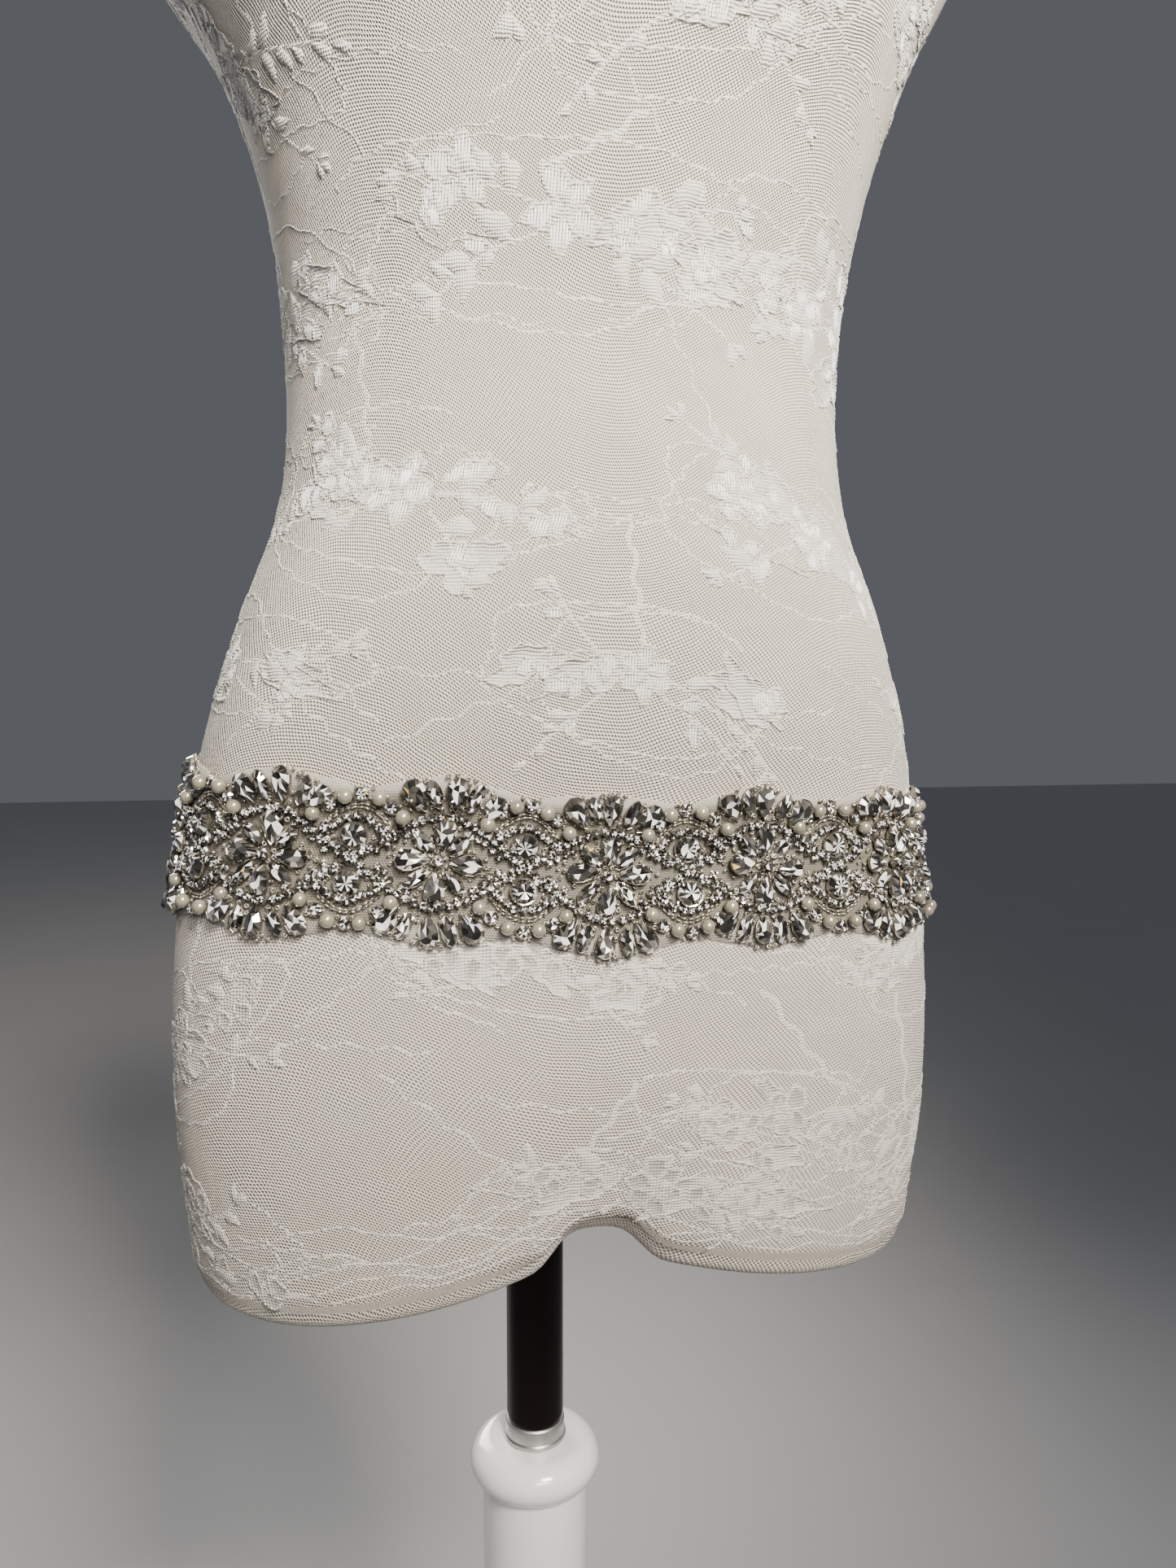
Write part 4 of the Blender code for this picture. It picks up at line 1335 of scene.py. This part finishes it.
    def floats_object(self, leaves, rng):
        """Upright satin threads across the hollow middle of each petal and large leaf."""
        rows, tones = [], []
        for middle, run, rise, lean, length, width, _ in leaves:
            a, b, lean = length * 0.33, width * 0.33, math.radians(lean)
            reach = math.hypot(a * math.sin(lean), b * math.cos(lean))
            if reach < 0.7 or rise < FLOATS_FROM:
                continue
            offs = np.arange(-reach + 0.35, reach - 0.2, 1.02)
            half = a * b / reach * np.sqrt(np.clip(1 - (offs / reach) ** 2, 0.05, 1))
            lift = offs * (a * a - b * b) * math.sin(lean) * math.cos(lean) / reach**2
            for off, tall, shift in zip(offs, half, lift):
                if tall < 0.8:
                    continue
                tall *= rng.uniform(0.9, 1.15)
                slant = rng.normal(0.06, 0.03)
                up = rise + shift + np.array((-tall, 0.0, tall))[:, None] + np.zeros(3)
                side = run + off + slant * (up - rise - shift) + np.array((-0.30, 0.0, 0.30))
                ridge = np.array(((0.22, 0.42, 0.22), (0.34, 0.66, 0.34), (0.22, 0.42, 0.22)))
                rows.append((cloth_across(middle, side, up), up, ridge, np.array((True, True, False))))
                tones.append(np.full((3, 3), rng.uniform(0.80, 0.92)))
        across, up, out, joined = (np.concatenate(parts) for parts in zip(*rows))
        return strips("satin_floats", joined[:-1], across, up, out, np.concatenate(tones))


class SASH_OT_net(bpy.types.Operator):
    """Cut the scalloped net band and wrap it round the hips"""

    bl_idname = "sash.net"
    bl_label = "Net band"

    def execute(self, context):
        rng = np.random.default_rng(3)
        half = (GIRTH - NET_END_GAP) / 2
        across = np.linspace(SASH_MIDDLE - half, SASH_MIDDLE + half, 520)
        turn = 2 * math.pi * (across - FRONT_MEDALLION_ACROSS) / REPEAT
        scallops = (NET_EDGE_SCALLOP + 0.5) * np.cos(turn) + 0.5 * np.cos(3 * turn)
        edges = []
        for side in (-1, 1):
            waver = np.interp(across, across[::13], rng.normal(0, 0.35, len(across[::13])))
            edges.append(side * (NET_EDGE_MEAN - 0.7 + scallops + waver))
        # Rows of the net from its lower edge to its upper one.
        shares = np.linspace(0, 1, 13)[:, None]
        up = edges[0] + (edges[1] - edges[0]) * shares
        wide = np.broadcast_to(across, up.shape)
        ruffle = 0.25 * np.sin(wide / 6.1 + 3 * shares) * (2 * shares - 1) ** 2
        points, _ = sash_frames(wide, up, 0.95 + ruffle)
        made = grid_object("net_band_cloth", points, np.stack((wide, up), axis=-1) * MM)
        thicken(made, 0.0002, 0)
        paint(made, net_material(tuple(sash_sizes().net_painted_shade_colour)))
        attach(made, "root")
        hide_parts("net_band")
        return {"FINISHED"}


class SASH_OT_closure(bpy.types.Operator):
    """Sew the plain tab over the net's ends at the back"""

    bl_idname = "sash.closure"
    bl_label = "Closure tab"

    def execute(self, context):
        seam = SASH_MIDDLE + GIRTH / 2
        half_width, half_height, stitch = 7.0, 22.0, 1.5
        wide, high = np.meshgrid(
            seam + np.linspace(-half_width, half_width, 25), np.linspace(-half_height, half_height, 61),
        )
        to_edge = np.maximum(np.abs(wide - seam) / half_width, np.abs(high) / half_height)
        hem = 0.28 * bell((to_edge - 0.9) / 0.05)
        stitches = 0.10 * np.cos(high * math.pi / stitch) * (np.abs(to_edge - 0.80) < 0.03)
        points, _ = sash_frames(wide, high, 2.3 + hem + stitches)
        made = grid_object("closure_tab_cloth", points, np.stack((wide, high), axis=-1) * MM)
        thicken(made, 0.0009, -1)
        paint(made, satin_tab_material())
        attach(made, "root")
        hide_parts("closure_tab")
        return {"FINISHED"}


class SASH_OT_large_stones(bpy.types.Operator):
    """Set the teardrop, marquise and large round crystals in their silver claws"""

    bl_idname = "sash.large_stones"
    bl_label = "Large crystals"

    def execute(self, context):
        sizes = sash_sizes()
        rng = np.random.default_rng(11)
        stones, settings = Pile(), Pile()
        leans = medallion_leans()
        drop = drop_outline(sizes.drop_length / MM, 6.9, 12)
        lens = lens_outline(sizes.lens_length / MM, 5.0, 10)
        ends = (0.12, 0.36, 0.64, 0.88)
        # Kind, outline, girdle, rise over it, middle, table's share, its dent, and how far out it rests.
        for kind, outline, girdle, rise, centre, table, dent, rest in (
            ("drop", drop, 1.5, 1.9, (0, 1.2), 0.58, 0.35, 1.35),
            ("lens", lens, 1.4, 1.7, (0, 0), 0.55, 0.20, 1.3),
        ):
            places = spread(medallion_middles(), medallion_spots(kind), rng, 0.3, 4.0, 7.0, leans)
            lift = rest + rng.uniform(0, 0.7, len(places[0]))
            origins, ways = placed(places, lift)
            grow = rng.uniform(0.96, 1.06, len(origins))
            tones = painted_facet_reflections(rng, len(origins), len(outline), 2, sizes.painted_dark_share, sizes.painted_fire_share)
            stone = cut_stone(outline, girdle, rise, centre, table, dent, step=2)
            stones.add(stone, origins, ways, grow, tones)
            settings.add(claw_cup(outline, girdle, ends, centre), origins, ways, grow)
        round_line = round_outline(4.3, 16)
        stone = cut_stone(round_line, 1.6, 1.9, (0, 0), 0.62, 0.5)
        cup = claw_cup(round_line, 1.6, ends, claw_width=0.8, reach=0.7, wall=0.13)
        spots = [(0.0, LARGE_ROUND_UP, 0.0), (0.0, -LARGE_ROUND_UP, 0.0)]
        origins, ways = placed(spread(link_middles(), spots, rng, 0.3, 12.0, 5.0), 1.6)
        dark = sizes.painted_dark_share + 0.05
        tones = painted_facet_reflections(rng, len(origins), len(round_line), 1, dark, sizes.painted_fire_share, 0.5)
        stones.add(stone, origins, ways, 1.0, tones)
        settings.add(cup, origins, ways)
        made = paint(stones.build("large_crystals"), crystal_material())
        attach(made, "root")
        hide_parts(*[f"medallion_{i:02d}" for i in range(1, len(medallion_middles()) + 1)])
        metal = paint(settings.build("silver_claws"), silver_material())
        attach(metal, "root")
        return {"FINISHED"}


class SASH_OT_small_stones(bpy.types.Operator):
    """String the small round crystals along the waves and eyes, and set the border's round ones"""

    bl_idname = "sash.small_stones"
    bl_label = "Small crystals"

    def execute(self, context):
        rng = np.random.default_rng(13)
        stones, cups = Pile(), Pile()
        tiny = round_outline(0.94, 6)
        stone = cut_stone(tiny, 0.8, 0.75, table=0.66, dent=0.1)
        cup = claw_cup(tiny, 0.8, (0.08, 0.33, 0.58, 0.83), claw_width=0.40, reach=0.28, over=0.3, wall=0.12)
        swings = up_and_down(along_curve(wave, -DRAWN_REPEAT / 2, DRAWN_REPEAT / 2, 3.0))
        arches = up_and_down(along_curve(eye, -10.5, 10.5, 2.8))
        arches += [(x, side * (1.6 + 0.16 * x * x), 0) for x in (-4.0, 4.0) for side in (1, -1)]
        corners, middle = four_ways([(9.4, 9.6)]), [(0.0, 0.0, 0.0)]
        inner = four_ways([(x, wave(x) - 2.9) for x in (9.0, 11.9, 14.7, 17.4, 19.9)])
        # Middles, spots, slip, turn and tilt as spread takes them, then size and how far out.
        chains = [
            (spread(middles, spots, rng, slip, turn, tilt), grow, lift)
            for middles, spots, slip, turn, tilt, grow, lift in (
                (medallion_middles(), swings, 0.15, 10.0, 7.0, 1.62, 1.5),
                (link_middles(), arches, 0.15, 10.0, 7.0, 1.52, 1.5),
                (link_middles(), corners, 0.2, 20.0, 6.0, 2.0, 1.5),
                (medallion_middles(), middle, 0.2, 20.0, 4.0, 2.0, 2.4),
                (medallion_middles(), inner, 0.35, 30.0, 9.0, 1.36, 1.3),
            )
        ]
        for places, grow, lift in chains:
            origins, ways = placed(places, lift)
            tones = painted_facet_reflections(rng, len(origins), len(tiny), 1, 0.36, 0.004, 0.6)
            stones.add(stone, origins, ways, grow, tones)
            cups.add(cup, origins, ways, grow)
        border = round_outline(2.35, 10)
        stone = cut_stone(border, 1.3, 1.2, table=0.62, dent=0.3)
        cup = claw_cup(border, 1.3, (0.12, 0.37, 0.62, 0.87), claw_width=0.7, reach=0.5, over=0.4, wall=0.10)
        origins, ways = placed(spread(link_middles(), four_ways(BORDER_ROUNDS), rng, 0.3, 20.0, 6.0), 1.35)
        tones = painted_facet_reflections(rng, len(origins), len(border), 1, 0.38, 0.008, 0.6)
        stones.add(stone, origins, ways, 1.0, tones)
        cups.add(cup, origins, ways)
        made = paint(stones.build("small_crystals"), crystal_material())
        metal = paint(cups.build("small_claws"), silver_material())
        for piece in (made, metal):
            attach(piece, "root")
        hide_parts(*[f"link_{i:02d}" for i in range(1, len(link_middles()) + 1)])
        return {"FINISHED"}


class SASH_OT_pearls(bpy.types.Operator):
    """Sew on the pearls of both borders"""

    bl_idname = "sash.pearls"
    bl_label = "Pearls"

    def execute(self, context):
        rng = np.random.default_rng(17)
        radius = sash_sizes().pearl_radius / MM
        pile = Pile()
        spots = spread(link_middles(), four_ways(BORDER_PEARLS), rng, 0.3, 30.0, 30.0)
        origins, ways = placed(spots, 1.2 + radius)
        points, corners, counts = ball(radius, 18, 14, 0.97)
        starts = np.concatenate(([0], np.cumsum(counts)[:-1]))
        # Painted shade: each face's tone is darker the lower it sits on the pearl.
        rise = np.add.reduceat(points[corners, 2], starts) / counts / radius
        shade = 0.5 + 0.5 * np.clip(rise + 0.25, 0, 1) ** 0.8
        each = rng.uniform(0.92, 1.06, (len(origins), 1, 1))
        tones = shade[None, :, None] * np.array(sash_sizes().pearl_colour) * each
        pile.add((points, corners, counts), origins, ways, rng.uniform(0.96, 1.03, len(origins)), tones)
        made = paint(pile.build("pearls", smooth=True), pearl_material())
        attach(made, "root")
        return {"FINISHED"}


class SASH_OT_beads(bpy.types.Operator):
    """Sew on the silver-lined seed beads and the double bugle cords"""

    bl_idname = "sash.beads"
    bl_label = "Seed and bugle beads"

    def execute(self, context):
        rng = np.random.default_rng(19)
        pile = Pile()
        bead = seed_ring(0.60, 0.40, 7, 4)
        spots = []
        for a in PETAL_ANGLES:
            for reach, angle in ((3.0, a + 22.5), (9.9, a + 22.5), (12.4, a + 22.5), (15.0, a)):
                spots += [(*place, 0.0) for place in round_places(reach, (angle,))]
        spots += four_ways([
            (0.0, 17.2), (3.5, 17.8), (7.0, 17.2), (10.6, 16.2), (3.4, 20.4), (9.6, 19.4), (3.4, 26.4),
            (5.0, 27.2), (10.4, 25.2), (12.0, 24.6), (16.6, 22.2), (16.2, 17.6), (16.9, 0.0), (15.2, 2.6),
            (1.8, 28.2),
        ])
        places = spread(medallion_middles(), spots, rng, 0.35, 40.0, 25.0, medallion_leans())
        origins, ways = placed(places, 1.5)
        pile.add(bead, origins, ways, rng.uniform(0.85, 1.2, len(origins)))
        spots = four_ways([
            (6.3, 6.6), (7.3, 8.6), (5.6, 4.4), (12.4, 15.4), (2.7, 19.4), (7.9, 17.4), (7.8, 20.6),
            (12.6, 17.4), (16.6, 16.4), (3.0, 2.6), (11.4, 7.4), (13.2, 9.6), (2.8, 23.0), (6.1, 12.4),
        ])
        origins, ways = placed(spread(link_middles(), spots, rng, 0.3, 40.0, 25.0), 1.35)
        pile.add(bead, origins, ways, rng.uniform(0.8, 1.1, len(origins)))
        bugle = rod(2.05, 0.46, 5)
        spots = []
        for turn in (a + 22.5 for a in PETAL_ANGLES):
            c, s = math.cos(math.radians(turn)), math.sin(math.radians(turn))
            for reach, side in ((4.9, -0.5), (4.9, 0.5), (7.2, -0.9), (7.2, 0.9)):
                spots.append((reach * s + side * c, reach * c - side * s, turn - 90))
        places = spread(medallion_middles(), spots, rng, 0.12, 8.0, 6.0, medallion_leans())
        origins, ways = placed(places, 1.35)
        pile.add(bugle, origins, ways, rng.uniform(0.9, 1.1, len(origins)))
        spots = []
        for out in (-0.55, 0.55):
            spots += up_and_down(along_curve(lambda t, out=out: cord_arc(t) + out, -11.4, 11.4, 2.2))
        across, up, lean, rocks = spread(link_middles(), spots, rng, 0.10, 5.0, 4.0)
        origins, ways = placed((across, up, -lean, rocks), 1.25)
        pile.add(bugle, origins, ways, rng.uniform(0.92, 1.05, len(origins)))
        made = paint(pile.build("seed_and_bugle_beads", smooth=True), glass_bead_material())
        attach(made, "root")
        return {"FINISHED"}


def turned_piece(name, profile, material, cad_node):
    """A piece turned about the Z axis from a profile of (radius, height), top to bottom."""
    mesh = bpy.data.meshes.new(name)
    mesh.from_pydata([(r, 0, z) for r, z in profile], [(i, i + 1) for i in range(len(profile) - 1)], [])
    made = bpy.data.objects.new(name, mesh)
    bpy.context.scene.collection.objects.link(made)
    screw = made.modifiers.new("turn", "SCREW")
    screw.axis = "Z"
    screw.steps = screw.render_steps = 96
    screw.use_merge_vertices = True
    screw.merge_threshold = 0.00005
    screw.use_smooth_shade = True
    edge = made.modifiers.new("edge", "EDGE_SPLIT")
    edge.split_angle = math.radians(50)
    paint(made, material)
    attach(made, "root")
    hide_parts(cad_node)
    return made


def rounded(profile, reach=0.0012, steps=4):
    """A profile with its inner corners rounded by a small reach."""
    found = [profile[0]]
    for before, corner, after in zip(profile, profile[1:], profile[2:]):
        a, b, c = (Vector(p) for p in (before, corner, after))
        bend = (a - b).angle(c - b, math.pi)
        if bend > math.radians(165):
            found.append(corner)
            continue
        near = min(reach, (a - b).length * 0.4, (c - b).length * 0.4)
        start, stop = b + (a - b).normalized() * near, b + (c - b).normalized() * near
        for i in range(steps + 1):
            t = i / steps
            found.append(tuple(start * (1 - t) ** 2 + b * 2 * t * (1 - t) + stop * t**2))
    return found + [profile[-1]]


class FORM_OT_stand(bpy.types.Operator):
    """Turn the pole, its ring, the collared column and the round foot"""

    bl_idname = "form.stand"
    bl_label = "Stand"

    def execute(self, context):
        sizes = form_sizes()
        low, high = (corner[2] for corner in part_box("pole"))
        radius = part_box("pole")[1][0]
        pole_paint = gloss_paint_material("dark_gloss_pole", tuple(sizes.pole_colour), 0.08, 0.03, 0.0, 0.2)
        pole = [(0, high), (radius, high), (radius, low), (0, low)]
        turned_piece("gloss_pole", rounded(pole, 0.0004), pole_paint, "pole")
        low, high = (corner[2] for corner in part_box("pole_ring"))
        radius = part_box("pole_ring")[1][0]
        lip = radius + 0.0007
        ring = [
            (0, high), (radius - 0.0009, high), (radius, high - 0.0009), (radius, low + 0.0022),
            (lip, low + 0.0016), (lip, low), (0, low),
        ]
        turned_piece("metal_ring", rounded(ring, 0.0003), brushed_ring_material(), "pole_ring")
        white = gloss_paint_material("white_gloss_paint", tuple(sizes.paint_colour), 0.16, 0.12)
        low, high = (corner[2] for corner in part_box("stand_column"))
        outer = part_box("stand_column")[1][0]
        # The collar's bead and the shaft under it, as radii.
        bead, shaft = 0.010, 0.0252
        middle = outer - bead
        collar = [
            (middle + bead * math.sin(t), high - bead + bead * math.cos(t))
            for t in np.linspace(0.0, math.radians(158), 28)
        ]
        column = [
            (0, high), (middle - 0.004, high - 0.0002), *collar,
            (shaft, high - 0.0202), (shaft, low + 0.004), (shaft, low), (0, low),
        ]
        turned_piece("white_column", column, white, "stand_column")
        foot_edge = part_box("stand_foot")[1]
        edge, top = foot_edge[0], foot_edge[2]
        foot = [
            (0, top), (0.0372, top), (0.046, top - 0.0015), (0.0552, top - 0.006), (0.080, 0.0292),
            (edge * 0.62, 0.026), (0.140, 0.0215), (edge - 0.012, 0.018), (edge - 0.0042, 0.0148),
            (edge - 0.0005, 0.0095), (edge - 0.0002, 0.006), (edge - 0.002, 0.0), (0, 0.0),
        ]
        turned_piece("white_foot", rounded(foot, 0.004, 5), white, "stand_foot")
        return {"FINISHED"}


# The photograph's view, worked out from the form's and the sash's places in it.
CAMERA_PLACE, CAMERA_TILT, CAMERA_TURN = (-0.0919, -0.5017, 0.915), 86.4, -13.27
CAMERA_LENS, CAMERA_SENSOR = 24.96, 36.0
WORLD_COLOUR = (0.105, 0.111, 0.124)
LIGHTS_AIM = (0.02, -0.04, 1.34)
# Columns: name, place, width, power in watts, spread in degrees, colour.
LIGHTS = (
    ("key_light", (0.32, -1.42, 2.10), 0.5, 15.0, 52.0, (1.0, 0.92, 0.81)),
    ("front_light", (0.06, -1.75, 1.74), 0.7, 6.5, 56.0, (1.0, 0.93, 0.84)),
    ("fill_light", (-1.70, -0.70, 1.20), 1.0, 0.8, 180.0, (0.78, 0.88, 1.0)),
    ("rim_light", (1.40, 0.70, 1.40), 0.8, 1.6, 180.0, (1.0, 1.0, 1.0)),
    ("back_light", (-0.60, 2.00, 1.70), 1.2, 24.0, 100.0, (1.0, 0.97, 0.94)),
    ("top_light", (-0.10, 0.10, 2.70), 0.8, 4.0, 180.0, (1.0, 1.0, 1.0)),
)


class SASH_OT_stage(bpy.types.Operator):
    """Lay the pale floor, set the soft lights and place the camera as in the photograph"""

    bl_idname = "sash.stage"
    bl_label = "Stage"

    def execute(self, context):
        scene = context.scene
        bpy.ops.mesh.primitive_plane_add(size=24, location=(0, 0, -0.0005))
        floor = context.object
        floor.name = "floor"
        material, tree, shader = plain_material("pale_floor")
        patchy = mixed(tree, noise(tree, 3.0, 3.0), (0.50, 0.50, 0.50), (0.54, 0.54, 0.54))
        set_inputs(shader, colour=patchy, roughness=0.8)
        paint(floor, material)
        world = bpy.data.worlds.new("soft_studio")
        scene.world = world
        world.use_nodes = True
        background = world.node_tree.nodes["Background"]
        background.inputs[0].default_value = (*WORLD_COLOUR, 1.0)
        background.inputs[1].default_value = 1.0
        for name, place, size, power, fan, colour in LIGHTS:
            data = bpy.data.lights.new(name, "AREA")
            data.size, data.energy, data.color, data.spread = size, power, colour, math.radians(fan)
            lamp = bpy.data.objects.new(name, data)
            scene.collection.objects.link(lamp)
            lamp.location = place
            lamp.rotation_euler = (Vector(LIGHTS_AIM) - Vector(place)).to_track_quat("-Z", "Y").to_euler()
        view = bpy.data.cameras.new("photo_view")
        view.sensor_fit = "VERTICAL"
        view.sensor_height = CAMERA_SENSOR
        view.lens = CAMERA_LENS
        view.clip_start = 0.01
        camera = bpy.data.objects.new("photo_view", view)
        scene.collection.objects.link(camera)
        camera.location = CAMERA_PLACE
        camera.rotation_euler = (math.radians(CAMERA_TILT), 0.0, math.radians(CAMERA_TURN))
        scene.camera = camera
        return {"FINISHED"}


OPERATORS = (
    FORM_OT_body, FORM_OT_lace_cover, FORM_OT_lace_leaves, FORM_OT_stand, SASH_OT_net, SASH_OT_closure,
    SASH_OT_large_stones, SASH_OT_small_stones, SASH_OT_pearls, SASH_OT_beads, SASH_OT_stage,
)


class SASH_PT_panel(bpy.types.Panel):
    """The sash's pieces and sizes"""

    bl_idname = "SASH_PT_panel"
    bl_label = "Bridal Sash"
    bl_space_type = "VIEW_3D"
    bl_region_type = "UI"
    bl_category = "Bridal Sash"

    def draw(self, context):
        for group in (context.scene.bridal_sash, context.scene.dress_form_sizes):
            for name in group.__annotations__:
                self.layout.prop(group, name)
        for operator in OPERATORS:
            self.layout.operator(operator.bl_idname)


CLASSES = (SASH_PG_sizes, FORM_PG_sizes, *OPERATORS, SASH_PT_panel)


def register():
    for each in CLASSES:
        bpy.utils.register_class(each)
    bpy.types.Scene.bridal_sash = PointerProperty(type=SASH_PG_sizes)
    bpy.types.Scene.dress_form_sizes = PointerProperty(type=FORM_PG_sizes)


def unregister():
    del bpy.types.Scene.dress_form_sizes
    del bpy.types.Scene.bridal_sash
    for each in reversed(CLASSES):
        bpy.utils.unregister_class(each)


def main():
    register()
    for operator in OPERATORS:
        group, name = operator.bl_idname.split(".")
        getattr(getattr(bpy.ops, group), name)()


if __name__ == "__main__":
    main()
